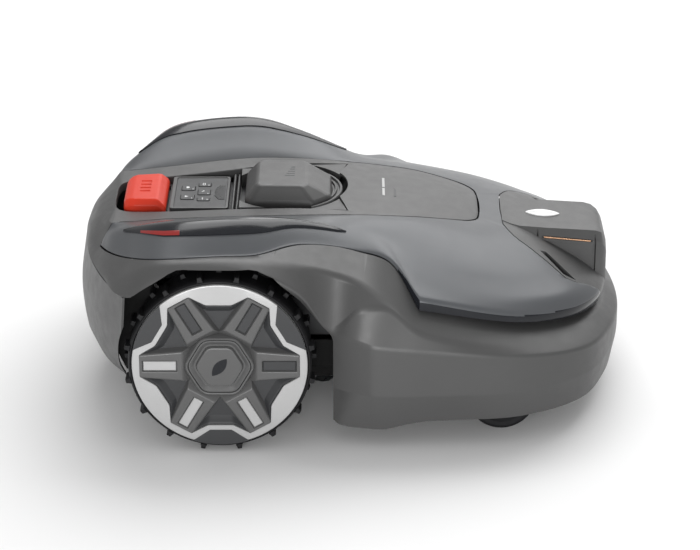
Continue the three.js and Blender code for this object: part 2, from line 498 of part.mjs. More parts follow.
const bladeX = DISC.x + DISC.pivotR;
const bladeHalf = BLADE.width / 2;
const bladeRoot = bladeX - BLADE.behindPivot;
const bladeTip = bladeRoot + BLADE.length;
const bladePlan = [[bladeRoot, 0], [bladeRoot, bladeHalf], [bladeTip - BLADE.corner, bladeHalf],
  [bladeTip, bladeHalf - BLADE.corner], [bladeTip, 0]];
const bladeSolid = prism(mirrored(bladePlan), BLADE.z, BLADE.z + BLADE.thick).subtract(pivotHole);
const screw = turned([[0, 20.4], [5.5, 20.4], [5.5, 22.2], [3, 22.2], [3, 29.4], [5.5, 29.4], [5.5, 32],
  [0, 32]], 8, bladeX, 0);
bladeAngles.forEach((angle, i) => {
  add(`blade_${i + 1}`, aboutDisc(bladeSolid, angle), STEEL);
  add(`blade_screw_${i + 1}`, aboutDisc(screw, angle), STEEL);
});

// ---------------------------------------------------------------- console under the rails
const BASE_PLAN = [[-237, 0], [-237, 29], [-229, 39], [-193, 45], [-130, 51], [-100, 54.5], [-68.5, 56.5],
  [-40, 49], [-20, 29], [-12, 0]];
const BASE = { z0: LID.z1 + GAP, z1: 190, skin: 3 };
const PANEL = { x0: -188.5, x1: -127.5, half: 44, top: 199.6 };
const KEYS = [[-171, 12, 14, 13], [-171, -13, 14, 13], [-154, 21, 13, 9], [-154, 0.5, 13, 15],
  [-154, -19, 13, 9]];
const KEY = { sink: 2.4, foot: 1.2, proud: 0.7 };
const baseShell = prism(mirrored(BASE_PLAN), BASE.z0, BASE.z1)
  .subtract(prism(mirrored(insetPlan(BASE_PLAN, BASE.skin)), BASE.z0 - 1, 181));
const stopWell = box(STOP.x0 - 1.2, STOP.x1 + 1.2, -STOP.wellHalf, STOP.wellHalf, STOP.wellFloor, 200);
add('console_base', cut(baseShell, stopWell, spindleHole), DARK);

const keyWells = KEYS.map(([x, y, length, width]) => box(x - length / 2 - GAP, x + length / 2 + GAP,
  y - width / 2 - GAP, y + width / 2 + GAP, PANEL.top - KEY.sink, PANEL.top + 2));
add('keypad_panel', cut(box(PANEL.x0, PANEL.x1, -PANEL.half, PANEL.half, BASE.z1 + GAP, PANEL.top),
  ...keyWells), DARK);
KEYS.forEach(([x, y, length, width], i) => add(`key_${i + 1}`, box(x - length / 2, x + length / 2,
  y - width / 2, y + width / 2, PANEL.top - KEY.sink + KEY.foot, PANEL.top + KEY.proud), DARK));
const windowPlan = [[-143, 0], [-143, 12], [-138, 20], [-132, 20], [-132, 0]];
add('status_window', prism(mirrored(windowPlan), PANEL.top + GAP, PANEL.top + 1.2), GLOSS);

// The stop button is a deep block with sloping front, rear and sides.
const stopSide = [[STOP.x0, STOP.z0], [STOP.x1, STOP.z0], [STOP.x1, 199], [-197, 203.5], [-203, STOP.z1],
  [-230, 205], [-236, 201]];
const stopEnd = prism([[STOP.x0, -33], [-234, -38], [STOP.x1, -40], [STOP.x1, 40], [-234, 38], [STOP.x0, 33]],
  180, 220);
add('stop_button', sidePrism(stopSide, -45, 45).intersect(stopEnd), RED);

// The cutting-height knob is a round plate on a spindle, with a broad grip block above the rails.
const grip = sidePrism([[-118, 206], [-20, 206], [-20, 211], [-38, 221], [-96, 222], [-112, 217]], -48, 48)
  .intersect(disc(KNOB.r, 190, 230, KNOB.x, 0, 32));
const knobPlate = disc(KNOB.plateR, BASE.z1 + GAP, 207, KNOB.x, 0, 32);
const knobRoom = disc(KNOB.roomR, BASE.z1 - 1, 203, KNOB.x, 0, 20);
const spindle = disc(KNOB.spindleR, 128, 204, KNOB.x, 0, 16);
add('height_knob', join(cut(join(grip, knobPlate), knobRoom), spindle), MATTE);

// ---------------------------------------------------------------- floating suspension of the cover
const FLOAT = { z0: LID.z1 + GAP, z1: LID.z1 + 6, postTop: 168, postR: 7 };
const FLOAT_OUTER = [[-262, 0], [-262, 60], [-225, 104], [92, 104], [92, 0]];
const FLOAT_INNER = [[-250, 0], [-250, 55], [-218, 92], [80, 92], [80, 0]];
const FLOAT_POSTS = [[-216, 97], [84, 97]];
const floatRing = prism(mirrored(FLOAT_OUTER), FLOAT.z0, FLOAT.z1)
  .subtract(prism(mirrored(FLOAT_INNER), FLOAT.z0 - 1, FLOAT.z1 + 1));
const floatPosts = FLOAT_POSTS.map(([x, y]) =>
  onBothSides(disc(FLOAT.postR, FLOAT.z1 - 1, FLOAT.postTop, x, y, 12)));
add('float_frame', join(floatRing, ...floatPosts), DARK);

export default object;
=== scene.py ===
"""A robotic lawn mower's looks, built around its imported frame.

Shapes are drawn in millimetres, +X forward, +Y left, +Z up, and become metres when a mesh is made.
"""

import json
import math

import bmesh
import bpy
from mathutils import Matrix, Vector

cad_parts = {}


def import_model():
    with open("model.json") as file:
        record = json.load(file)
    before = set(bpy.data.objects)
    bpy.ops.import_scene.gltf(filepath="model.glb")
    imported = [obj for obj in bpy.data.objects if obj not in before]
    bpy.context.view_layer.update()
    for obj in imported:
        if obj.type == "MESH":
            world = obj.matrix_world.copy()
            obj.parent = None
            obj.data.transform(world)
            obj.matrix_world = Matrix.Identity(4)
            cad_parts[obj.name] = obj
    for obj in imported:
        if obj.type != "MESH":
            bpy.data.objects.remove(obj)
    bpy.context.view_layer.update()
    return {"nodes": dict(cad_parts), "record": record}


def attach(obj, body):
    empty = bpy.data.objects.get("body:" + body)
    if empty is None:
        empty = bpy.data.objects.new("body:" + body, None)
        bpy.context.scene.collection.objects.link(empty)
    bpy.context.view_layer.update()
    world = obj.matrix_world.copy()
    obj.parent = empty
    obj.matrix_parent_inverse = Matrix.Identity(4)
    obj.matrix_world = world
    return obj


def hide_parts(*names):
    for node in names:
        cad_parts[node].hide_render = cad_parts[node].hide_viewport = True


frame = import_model()
MM = 0.001
SCENE = bpy.context.scene

# ---- camera
CAMERA_PLACE = Vector((0.0, -2.643, 1.280))
CAMERA_AIM = Vector((0.0, 0.0, 0.1035))
SENSOR_WIDTH = 36.0
FOCAL_LENGTH = 138.9


def make_camera():
    data = bpy.data.cameras.new("camera")
    data.sensor_width = SENSOR_WIDTH
    data.lens = FOCAL_LENGTH
    camera = bpy.data.objects.new("camera", data)
    SCENE.collection.objects.link(camera)
    camera.location = CAMERA_PLACE
    camera.rotation_euler = (CAMERA_AIM - CAMERA_PLACE).to_track_quat("-Z", "Y").to_euler()
    SCENE.camera = camera


make_camera()
SCENE.view_settings.view_transform = "Standard"


# ---- materials
def nodes_of(name):
    material = bpy.data.materials.new(name)
    material.use_nodes = True
    return material, material.node_tree.nodes, material.node_tree.links


def noise(nodes, links, coordinates, scale, detail, roughness=0.5):
    node = nodes.new("ShaderNodeTexNoise")
    node.inputs["Scale"].default_value = scale
    node.inputs["Detail"].default_value = detail
    node.inputs["Roughness"].default_value = roughness
    links.new(coordinates, node.inputs["Vector"])
    return node.outputs["Fac"]


def spread(nodes, links, value, low, high):
    node = nodes.new("ShaderNodeMapRange")
    node.inputs["From Min"].default_value = 0.3
    node.inputs["From Max"].default_value = 0.7
    node.inputs["To Min"].default_value = low
    node.inputs["To Max"].default_value = high
    links.new(value, node.inputs["Value"])
    return node.outputs["Result"]


def surface_material(name, color, rough, metallic=0.0, specular=0.5, coat=0.0, coat_rough=0.1, grain=1500.0,
                     relief=0.12, mottle=0.04, rough_change=0.04, blotch=14.0):
    """A moulded, painted or metal finish with fine grain, uneven gloss and a slight change of tone."""
    material, nodes, links = nodes_of(name)
    shader = nodes["Principled BSDF"]
    shader.inputs["Metallic"].default_value = metallic
    shader.inputs["Specular IOR Level"].default_value = specular
    shader.inputs["Coat Weight"].default_value = coat
    shader.inputs["Coat Roughness"].default_value = coat_rough
    place = nodes.new("ShaderNodeTexCoord").outputs["Object"]

    tone = spread(nodes, links, noise(nodes, links, place, blotch, 3.0), 0.0, 1.0)
    mix = nodes.new("ShaderNodeMix")
    mix.data_type = "RGBA"
    darker = [channel * (1.0 - mottle) for channel in color]
    lighter = [min(1.0, channel * (1.0 + mottle)) for channel in color]
    mix.inputs["A"].default_value = (*darker, 1.0)
    mix.inputs["B"].default_value = (*lighter, 1.0)
    links.new(tone, mix.inputs["Factor"])
    links.new(mix.outputs["Result"], shader.inputs["Base Color"])

    gloss = noise(nodes, links, place, blotch * 6.0, 4.0)
    links.new(spread(nodes, links, gloss, rough - rough_change, rough + rough_change), shader.inputs["Roughness"])

    bump = nodes.new("ShaderNodeBump")
    bump.inputs["Strength"].default_value = relief
    bump.inputs["Distance"].default_value = 0.0003
    links.new(noise(nodes, links, place, grain, 2.0), bump.inputs["Height"])
    links.new(bump.outputs["Normal"], shader.inputs["Normal"])
    return material


SATIN = surface_material("satin_shell", (0.084, 0.088, 0.094), 0.36, metallic=0.15, specular=0.36, coat=0.04,
                         coat_rough=0.2, grain=2600.0, relief=0.04, rough_change=0.02, mottle=0.02)
MATTE = surface_material("matte_body", (0.062, 0.062, 0.062), 0.44, specular=0.5, grain=1900.0, relief=0.14)
DARK = surface_material("dark_plastic", (0.028, 0.029, 0.031), 0.45, grain=1500.0, relief=0.18)
COVER = surface_material("wheel_plastic", (0.075, 0.075, 0.075), 0.36, specular=0.65, grain=1900.0, relief=0.1)
RUBBER = surface_material("tyre_rubber", (0.006, 0.006, 0.007), 0.62, specular=0.3, grain=900.0, relief=0.4,
                          mottle=0.15)
# Near-black, for the chassis tray and for the painted shade plates inside the wheel arches.
BLACK = surface_material("black_plastic_and_painted_shade", (0.004, 0.004, 0.004), 0.7, specular=0.2, grain=900.0, relief=0.2)
GLOSS = surface_material("gloss_trim", (0.009, 0.010, 0.013), 0.16, specular=0.3, coat=0.1, coat_rough=0.06,
                         relief=0.0, rough_change=0.02, mottle=0.08)
SILVER = surface_material("silver_trim", (0.42, 0.42, 0.42), 0.36, metallic=0.2, grain=2600.0, relief=0.06)
WHITE = surface_material("badge_white", (0.86, 0.86, 0.86), 0.35, grain=2600.0, relief=0.04)
RED = surface_material("stop_red", (0.66, 0.042, 0.018), 0.4, specular=0.22, grain=1700.0, relief=0.12,
                       mottle=0.03)
LENS = surface_material("lamp_red", (0.24, 0.010, 0.008), 0.18, coat=0.15, coat_rough=0.05, relief=0.0,
                        rough_change=0.02)
COPPER = surface_material("contact_copper", (0.72, 0.43, 0.27), 0.28, metallic=0.9, grain=2600.0, relief=0.05)
STEEL = surface_material("steel", (0.55, 0.56, 0.57), 0.3, metallic=1.0, grain=700.0, relief=0.15,
                         rough_change=0.08)
GREEN = surface_material("green_board", (0.03, 0.12, 0.05), 0.45, grain=700.0, relief=0.3, mottle=0.2)
PANE = surface_material("window_pane", (0.010, 0.011, 0.012), 0.3, specular=0.3, relief=0.0, mottle=0.08)
ICON = surface_material("key_print", (0.72, 0.73, 0.73), 0.5, grain=2600.0, relief=0.02)
SLOT_MATERIAL = {
    "satin_shell": SATIN, "matte_body": MATTE, "dark_plastic": DARK, "tyre_rubber": RUBBER,
    "gloss_trim": GLOSS, "silver_trim": SILVER, "stop_red": RED, "lamp_red": LENS,
    "contact_copper": COPPER, "steel": STEEL, "green_board": GREEN,
}


# ---- mesh helpers
class Shape:
    """Points in millimetres and faces, gathered before they become one mesh."""

    def __init__(self):
        self.points = []
        self.faces = []

    def grid(self, rows, wrap=False):
        """Quads between rows of points; wrap closes each row into a ring."""
        base = len(self.points)
        width = len(rows[0])
        for row in rows:
            self.points += [Vector(point) for point in row]
        for i in range(len(rows) - 1):
            for j in range(width if wrap else width - 1):
                k = (j + 1) % width
                a = base + i * width
                self.faces.append((a + j, a + k, a + width + k, a + width + j))
        return self

    def rings(self, rings):
        """A closed solid through matching rings, capped at both ends."""
        base = len(self.points)
        count = len(rings[0])
        self.grid(rings, wrap=True)
        last = base + count * (len(rings) - 1)
        self.faces.append(tuple(base + j for j in reversed(range(count))))
        self.faces.append(tuple(last + j for j in range(count)))
        return self

    def make(self, name, material, merge=0.02):
        mesh = bpy.data.meshes.new(name)
        mesh.from_pydata([point * MM for point in self.points], [], self.faces)
        work = bmesh.new()
        work.from_mesh(mesh)
        bmesh.ops.remove_doubles(work, verts=work.verts, dist=merge * MM)
        bmesh.ops.dissolve_degenerate(work, edges=work.edges, dist=merge * MM)
        bmesh.ops.recalc_face_normals(work, faces=work.faces)
        work.to_mesh(mesh)
        work.free()
        mesh.materials.append(material)
        piece = bpy.data.objects.new(name, mesh)
        SCENE.collection.objects.link(piece)
        return piece


def box(x0, x1, y0, y1, z0, z1):
    return Shape().rings([[(x0, y0, z), (x1, y0, z), (x1, y1, z), (x0, y1, z)] for z in (z0, z1)])


def prism(outline, z0, z1):
    return Shape().rings([[(x, y, z) for x, y in outline] for z in (z0, z1)])


def side_prism(outline, y0, y1):
    return Shape().rings([[(x, y, z) for x, z in outline] for y in (y0, y1)])


def turned(profile, segments, x, y):
    """A solid of revolution about an upright axis, from [radius, z] points."""
    rows = []
    for r, z in profile:
        turn = [2.0 * math.pi * i / segments for i in range(segments)]
        rows.append([(x + r * math.cos(a), y + r * math.sin(a), z) for a in turn])
    return Shape().grid(rows, wrap=True)


def bake(piece, angle=32.0):
    """Applies a piece's modifiers and shades it smooth up to the angle."""
    graph = bpy.context.evaluated_depsgraph_get()
    mesh = bpy.data.meshes.new_from_object(piece.evaluated_get(graph))
    old = piece.data
    piece.modifiers.clear()
    piece.data = mesh
    bpy.data.meshes.remove(old)
    mesh.name = piece.name
    mesh.shade_smooth()
    mesh.set_sharp_from_angle(angle=math.radians(angle))
    return piece


def soften(piece, width, segments=3, angle=30.0):
    bevel = piece.modifiers.new("edges", "BEVEL")
    bevel.width = width * MM
    bevel.segments = segments
    bevel.limit_method = "ANGLE"
    bevel.angle_limit = math.radians(angle)
    bevel.harden_normals = False
    return bake(piece)


def carve(piece, cutter_shape, operation="DIFFERENCE"):
    """Cuts a shape away from a piece, or keeps only what lies inside it."""
    cutter = cutter_shape.make("cutter", BLACK)
    boolean = piece.modifiers.new("cut", "BOOLEAN")
    boolean.operation = operation
    boolean.solver = "EXACT"
    boolean.use_self = False
    boolean.object = cutter
    bake(piece)
    bpy.data.objects.remove(cutter)
    return piece


def joined(name, pieces):
    """One piece from several, each keeping its own material."""
    work = bmesh.new()
    materials = []
    for piece in pieces:
        for material in piece.data.materials:
            if material not in materials:
                materials.append(material)
    for piece in pieces:
        start = len(work.faces)
        work.from_mesh(piece.data)
        work.faces.ensure_lookup_table()
        local = [materials.index(material) for material in piece.data.materials]
        for face in work.faces[start:]:
            face.material_index = local[face.material_index]
    mesh = bpy.data.meshes.new(name)
    work.to_mesh(mesh)
    work.free()
    for material in materials:
        mesh.materials.append(material)
    for piece in pieces:
        bpy.data.objects.remove(piece)
    result = bpy.data.objects.new(name, mesh)
    SCENE.collection.objects.link(result)
    return result


def opposite(piece, name):
    """The same piece on the other side of the mower."""
    mesh = piece.data.copy()
    mesh.transform(Matrix.Scale(-1.0, 4, (0.0, 1.0, 0.0)))
    mesh.flip_normals()
    other = bpy.data.objects.new(name, mesh)
    SCENE.collection.objects.link(other)
    return other


def place(piece, body, slot, *nodes, even_shading=True):
    """Puts a finished piece on its CAD body; it stands for the CAD nodes named."""
    if even_shading:
        even = piece.modifiers.new("even_shading", "WEIGHTED_NORMAL")
        even.weight = 80
        even.keep_sharp = True
    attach(piece, body)
    if nodes:
        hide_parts(*nodes)


def place_pair(piece, base, body, slot, *nodes):
    """Places a left piece and its mirror image on the bodies of each side."""
    other = opposite(piece, f"{base}_right")
    piece.name = f"{base}_left"
    for part, side in ((piece, "left"), (other, "right")):
        place(part, body.format(side=side), slot, *[node.format(side=side) for node in nodes])


# ---- feature lines of the body
# Each line runs along one side from the front centre to the rear, at matching stations.
HOOD_LINES = [
    [(137, 0, 184.5), (136, 22, 184.5), (133, 40, 185.3), (124, 50, 187.5), (105, 57, 192), (70, 66, 198.5),
     (38, 70.5, 201.9), (10, 73.5, 204), (-52, 80, 206.5), (-94, 82, 206.5), (-130, 80.5, 204.8),
     (-193, 74.5, 199.5), (-226, 73, 196.3), (-236, 72.9, 195.7), (-245, 73.5, 195.5)],
    [(178, 0, 177), (178, 32, 176.5), (172, 62, 176), (158, 84, 175), (122, 96, 181), (70, 95, 193),
     (37.3, 92.5, 198.7), (10, 92, 203), (-52, 103, 213), (-94, 112, 217.5), (-130, 113, 217.5),
     (-193, 104, 209.5), (-226, 92, 201), (-239, 85, 195.8), (-249, 77, 189.5)],
    [(205, 0, 165), (206, 38, 163.5), (200, 74, 163), (182, 104, 162), (136, 124, 170), (70, 122, 184),
     (36.8, 110.3, 192.9), (10, 103, 200.5), (-52, 117, 217.3), (-94, 128, 224.6), (-130, 128, 224.6),
     (-193, 122, 217), (-226, 103, 204.3), (-241, 91, 195.5), (-251.5, 80, 186.5)],
    [(235, 0, 148), (236, 42, 145.5), (226, 82, 146), (204, 120, 146.5), (150, 146, 155.5), (70, 146, 174.5),
     (37, 122, 191.3), (10, 113, 198), (-52, 127, 219), (-94, 144, 227), (-130, 146, 227.9),
     (-193, 138, 219.6), (-226, 112, 203.8), (-242.5, 96.5, 194), (-253, 82, 184)],
    [(258, 0, 130), (258, 44, 129), (246, 86, 133), (219, 130, 137.5), (160, 160, 146.5), (70, 166, 165.5),
     (38.5, 133, 189.2), (10, 122, 195), (-52, 137, 214.5), (-94, 159, 219.5), (-130, 165, 220.3),
     (-193, 155, 214.5), (-226, 122, 200.5), (-243.5, 103, 190.8), (-254.5, 84, 181.5)],
    [(273, 0, 114), (269, 42, 115), (259, 84, 120), (230, 130, 124.5), (168, 170, 136.2), (70, 184, 158.5),
     (40.2, 143, 186), (10, 131, 191), (-52, 150, 206), (-94, 176, 205.6), (-130, 183, 206.8),
     (-193, 182, 204), (-226, 145, 190.5), (-244.5, 116, 183.5), (-256, 87, 178)],
    [(270, 0, 104.5), (266, 42, 105.5), (256, 84.5, 110), (227.5, 131, 115.8), (167, 171, 127.5),
     (69.5, 184.2, 146.6), (40.4, 145.3, 182.6), (10, 133, 189.6), (-52, 152, 205.2), (-94, 178, 205),
     (-130, 185, 206.4), (-193, 184, 203), (-227, 147, 189.5), (-245.5, 117.5, 182.3), (-257, 87.5, 176.5)],
]
# The skirt's lines carry on round the rear deck to the rear centre.
SKIRT_TOP = [(271, 0, 98.5), (267, 40, 98.5), (256, 83, 101), (226, 130, 107), (165, 167, 119.5), (70, 181, 143),
             (40.6, 146.5, 181.5), (10, 134.6, 188.6), (-17, 139.5, 197.4), (-52, 153.6, 204.6),
             (-94, 179.6, 204.6), (-130, 186.6, 206.2), (-193, 185.6, 202.3), (-228, 148.6, 188.7),
             (-246.5, 119, 181.2), (-258, 88.3, 175.2), (-271, 42, 174.5), (-273, 0, 174.5)]
SKIRT_CREASE = [(280, 0, 94), (276, 41, 94.5), (266, 87, 96.5), (236, 141, 102), (171, 184, 115), (70, 194, 134),
                (38, 185, 155), (10, 176, 173), (-17, 177.5, 183.5), (-52, 184, 194.3), (-94, 192.5, 204),
                (-130, 196.5, 205.8), (-193, 196, 200.2), (-230, 172, 180.5), (-249, 134, 174.8),
                (-262, 90, 170.5), (-273.5, 42.5, 170.2), (-275.5, 0, 170.6)]
SKIRT_FLANK = [(284, 0, 89), (281, 42, 89.5), (270.5, 89, 92), (241, 148, 96.5), (175, 193, 107.5), (72, 201, 128),
               (38, 191, 151.5), (10, 195.5, 151), (-19, 184.6, 124.5), (-52, 203.5, 173), (-94, 206.5, 196.5),
               (-130, 207, 199.3), (-193, 206, 190), (-229, 190, 174.5), (-250, 144, 169.6), (-265, 90.6, 167),
               (-274.8, 42.8, 166.6), (-277, 0, 167.4)]
SKIRT_BELT = [(286, 0, 83.5), (283, 43, 84.5), (272.5, 91, 87), (243, 153, 92), (176, 196.5, 101.5),
              (72, 208.5, 111.5), (24, 209.3, 116), (6, 199.8, 118.5), (-19, 184, 119.5), (-50, 163, 121),
              (-94, 209.5, 180), (-130, 209.5, 185), (-193, 209.5, 178), (-226, 203, 170.8), (-249.5, 150, 166.8),
              (-267.5, 91, 163.8), (-275.5, 43, 163.8), (-278, 0, 165)]
FRONT_STATIONS = 10             # stations of the bumper, before the skirt goes on over the wheel arch
CORNER = 6                      # the station at the rear corner of the bumper
LIP_CORNER = 5                  # the station where the lip of the hood turns up towards the console
CROWN = (0.0, 0.0, 0.8)         # how far the bumper's top stands above a flat slope
# Along the front the crease and the flank lie on an almost flat slope from the top down to the belt.
for slope_line, slope_share in ((SKIRT_CREASE, 0.38), (SKIRT_FLANK, 0.74)):
    for station in range(LIP_CORNER):
        slope_line[station] = tuple(a + slope_share * (b - a) + rise for a, b, rise in
                                    zip(SKIRT_TOP[station], SKIRT_BELT[station], CROWN))
FOOT = [(280.5, 0, 33), (277.5, 43, 33), (267, 89.5, 32.6), (238.5, 150, 32.2), (173.5, 192.5, 32.4),
        (70, 201.5, 29.6), (33, 203.5, 21.6), (-10, 193.5, 23), (-17.6, 182.5, 23.3), (-50, 161, 23.5)]
LOW_CREASE_Z = 62
LEDGE_BACK = [(256, 0, 103), (252, 38, 103), (241, 78, 105.5), (213, 119, 112), (158, 151, 125), (66, 165, 149),
              (37, 136, 175), (10, 124, 184), (-17, 129.5, 192), (-52, 143, 199.4), (-94, 169, 199.4),
              (-130, 176, 201), (-193, 175, 197), (-226, 139, 184), (-243, 111, 177), (-252, 84, 171)]
RAIL_INNER = [(3, 65, 205.6), (-20, 64.4, 206.7), (-52, 62.5, 207.3), (-94, 59.5, 205.5), (-130, 54.5, 202.5),
              (-193, 48.5, 197.6), (-226, 44, 195.6), (-236, 41, 195.3), (-243, 34, 195.2), (-246, 18, 195.6),
              (-246, 0, 195.8)]
RAIL_OUTER = [(3, 72.6, 204.3), (-20, 76, 205.6), (-52, 79.2, 206.6), (-94, 81.2, 206.6), (-130, 79.7, 204.9),
              (-193, 73.7, 199.6), (-226, 72.1, 196.4), (-236, 71.4, 195.7), (-246, 72.7, 194.9),
              (-253, 36, 192), (-254, 0, 192)]
DECK_ROLL = [(-251, 78, 187.5), (-264, 40, 183.5), (-266, 0, 183.5)]
BUMPER_LINES = [
    [(-226, 203, 168.8), (-249.5, 150, 165.2), (-267.5, 91, 163), (-275.5, 43, 163), (-278, 0, 164.2)],
    [(-229, 202, 128), (-254.5, 148, 124), (-273, 88, 118), (-282.5, 43, 115), (-286, 0, 114)],
    [(-231, 190, 90), (-254, 135, 85), (-272, 80, 83), (-281, 38, 83), (-284.5, 0, 83)],
    [(-228, 163, 64), (-250, 125, 64), (-267, 76, 64), (-278, 37, 64), (-281.5, 0, 64)],
]
SPINE_REACH = 180
SPINE_Z = 60
ALONG = 8                       # panels between two stations
WALL = 2.4                      # thickness of the cover mouldings
SEAM = 0.8                      # gap between neighbouring mouldings


def spine_by(point):
    """The point of the mower's spine nearest to a point; outward is away from it."""
    return Vector((max(-SPINE_REACH, min(SPINE_REACH, point.x)), 0.0, SPINE_Z))


def spline(line, steps=ALONG):
    """A centripetal curve through a line's points; it meets the middle plane square where an end has y = 0."""
    points = [Vector(point) for point in line]

    def beyond(end, neighbour):
        if abs(end.y) < 1e-6:
            return Vector((neighbour.x, -neighbour.y, neighbour.z))
        return 2.0 * end - neighbour

    control = [beyond(points[0], points[1]), *points, beyond(points[-1], points[-2])]
    result = []
    for a, b, c, d in zip(control, control[1:], control[2:], control[3:]):
        gaps = [max(1e-4, math.sqrt((q - p).length)) for p, q in ((a, b), (b, c), (c, d))]
        leave = ((b - a) / gaps[0] - (c - a) / (gaps[0] + gaps[1]) + (c - b) / gaps[1]) * gaps[1]
        arrive = ((c - b) / gaps[1] - (d - b) / (gaps[1] + gaps[2]) + (d - c) / gaps[2]) * gaps[1]
        for step in range(steps):
            t = step / steps
            result.append(b * (2 * t ** 3 - 3 * t ** 2 + 1) + leave * (t ** 3 - 2 * t ** 2 + t)
                          + c * (3 * t ** 2 - 2 * t ** 3) + arrive * (t ** 3 - t ** 2))
    result.append(points[-1].copy())
    return result


def kinked(line, at, blend=0):
    """A curve that turns sharply at one station, with the turn eased over blend points on both sides."""
    first, second = spline(line[:at + 1]), spline(line[at:])
    result = first[:-1] + second
    corner = at * ALONG
    if blend:
        start, middle, end = result[corner - blend], result[corner].copy(), result[corner + blend]
        for k in range(-blend, blend + 1):
            t = (k + blend) / (2.0 * blend)
            result[corner + k] = start * (1 - t) ** 2 + middle * (2 * t * (1 - t)) + end * t ** 2
    return result


def rounded(corners, reaches, steps=5):
    """A chain of corners with each inner one rounded, starting reach away from it on both sides."""
    result = [corners[0]]
    for before, corner, after, reach in zip(corners, corners[1:], corners[2:], reaches):
        back, ahead = before - corner, after - corner
        start = corner + back.normalized() * min(reach, back.length * 0.5) if back.length > 1e-6 else corner
        end = corner + ahead.normalized() * min(reach, ahead.length * 0.5) if ahead.length > 1e-6 else corner
        for step in range(steps + 1):
            t = step / steps
            result.append(start * (1 - t) ** 2 + corner * (2 * t * (1 - t)) + end * t ** 2)
    result.append(corners[-1])
    return result


def sheet(lines, reaches):
    """Columns of points across a body panel, from its feature lines along one side."""
    return [rounded(list(column), reaches) for column in zip(*lines)]


def facing_out(columns):
    """True if a grid's faces look away from the spine of the mower."""
    i, j = (len(columns) - 1) // 2, (len(columns[0]) - 1) // 2
    middle = columns[i][j]
    normal = (columns[i][j + 1] - middle).cross(columns[i + 1][j] - middle)
    return normal.dot(middle - spine_by(middle)) < 0


def skin(name, sheets, material, thickness=WALL):
    """A closed moulding of even thickness over half sheets and their mirror images."""
    shape = Shape()
    for columns in sheets:
        if facing_out(columns):
            columns = columns[::-1]
        shape.grid(columns)
        shape.grid([[Vector((p.x, -p.y, p.z)) for p in column] for column in columns[::-1]])
    piece = shape.make(name, material)
    solid = piece.modifiers.new("thickness", "SOLIDIFY")
    solid.thickness = thickness * MM
    solid.offset = -1.0
    solid.use_even_offset = False
    outward = 0.0
    for face in piece.data.polygons:
        middle = face.center / MM
        outward += face.normal.dot(middle - spine_by(middle)) * face.area
    if outward < 0:
        piece.data.flip_normals()
    return bake(piece)


def mirrored(outline):
    return [*outline, *[(x, -y) for x, y in reversed(outline) if abs(y) > 1e-9]]


# ---- cover
FAIRING_PLAN = [(159, 0), (160.5, 40), (165.5, 52), (170.5, 61), (176, 67), (194, 80), (223, 98), (234, 96),
                (262, 75), (300, 75), (300, 0)]
ARCH = [(-222.5, -20), (-222.5, 165), (-216, 172.5), (-180, 195.5), (-172, 199), (-165, 199.7), (-100, 199.7),
        (-92, 198), (-76, 190.5), (-50, 163), (-26, 127), (-18.5, 118), (-17, 113), (-17, -20)]
# Outline of near-black plates inside the wheel arches, put there as painted shade.
ARCH_SHADE_PLATE = [(-243, 160), (-222, 167), (-199, 171), (-196, 146), (-206, 108), (-215, 82), (-223, 70), (-228, 70),
              (-238, 92), (-245, 126)]
WHEEL_X = -130.6
WHEEL_Z = 97.0
WHEEL_CLEARANCE_R = 103.5
KNOB_X = -68.5
HOLLOW_R = 66.5
LIP_SHADE_FROM_X = 45            # the hood's steep edge faces take the dark gloss as painted shade from here forward
LIP_SHADE_SLOPE = 0.3            # and only where it is steeper than this


def on_wheel(r, degrees, y):
    a = math.radians(degrees)
    return Vector((WHEEL_X + r * math.cos(a), y, WHEEL_Z + r * math.sin(a)))


def wheel_drum(r, y0, y1, segments=96):
    rows = [[on_wheel(r, 360.0 * i / segments, y) for i in range(segments)] for y in (y0, y1)]
    return Shape().rings(rows)


def knob_hollow():
    """The round hollow in front of the knob, shared by the hatch and the corners beside it."""
    arc = [math.radians(-70 + 140 * i / 48) for i in range(49)]
    outline = [(KNOB_X + HOLLOW_R * math.cos(a), HOLLOW_R * math.sin(a)) for a in arc]
    return prism([*outline, (-68, 40), (-68, -40)], 150, 250)


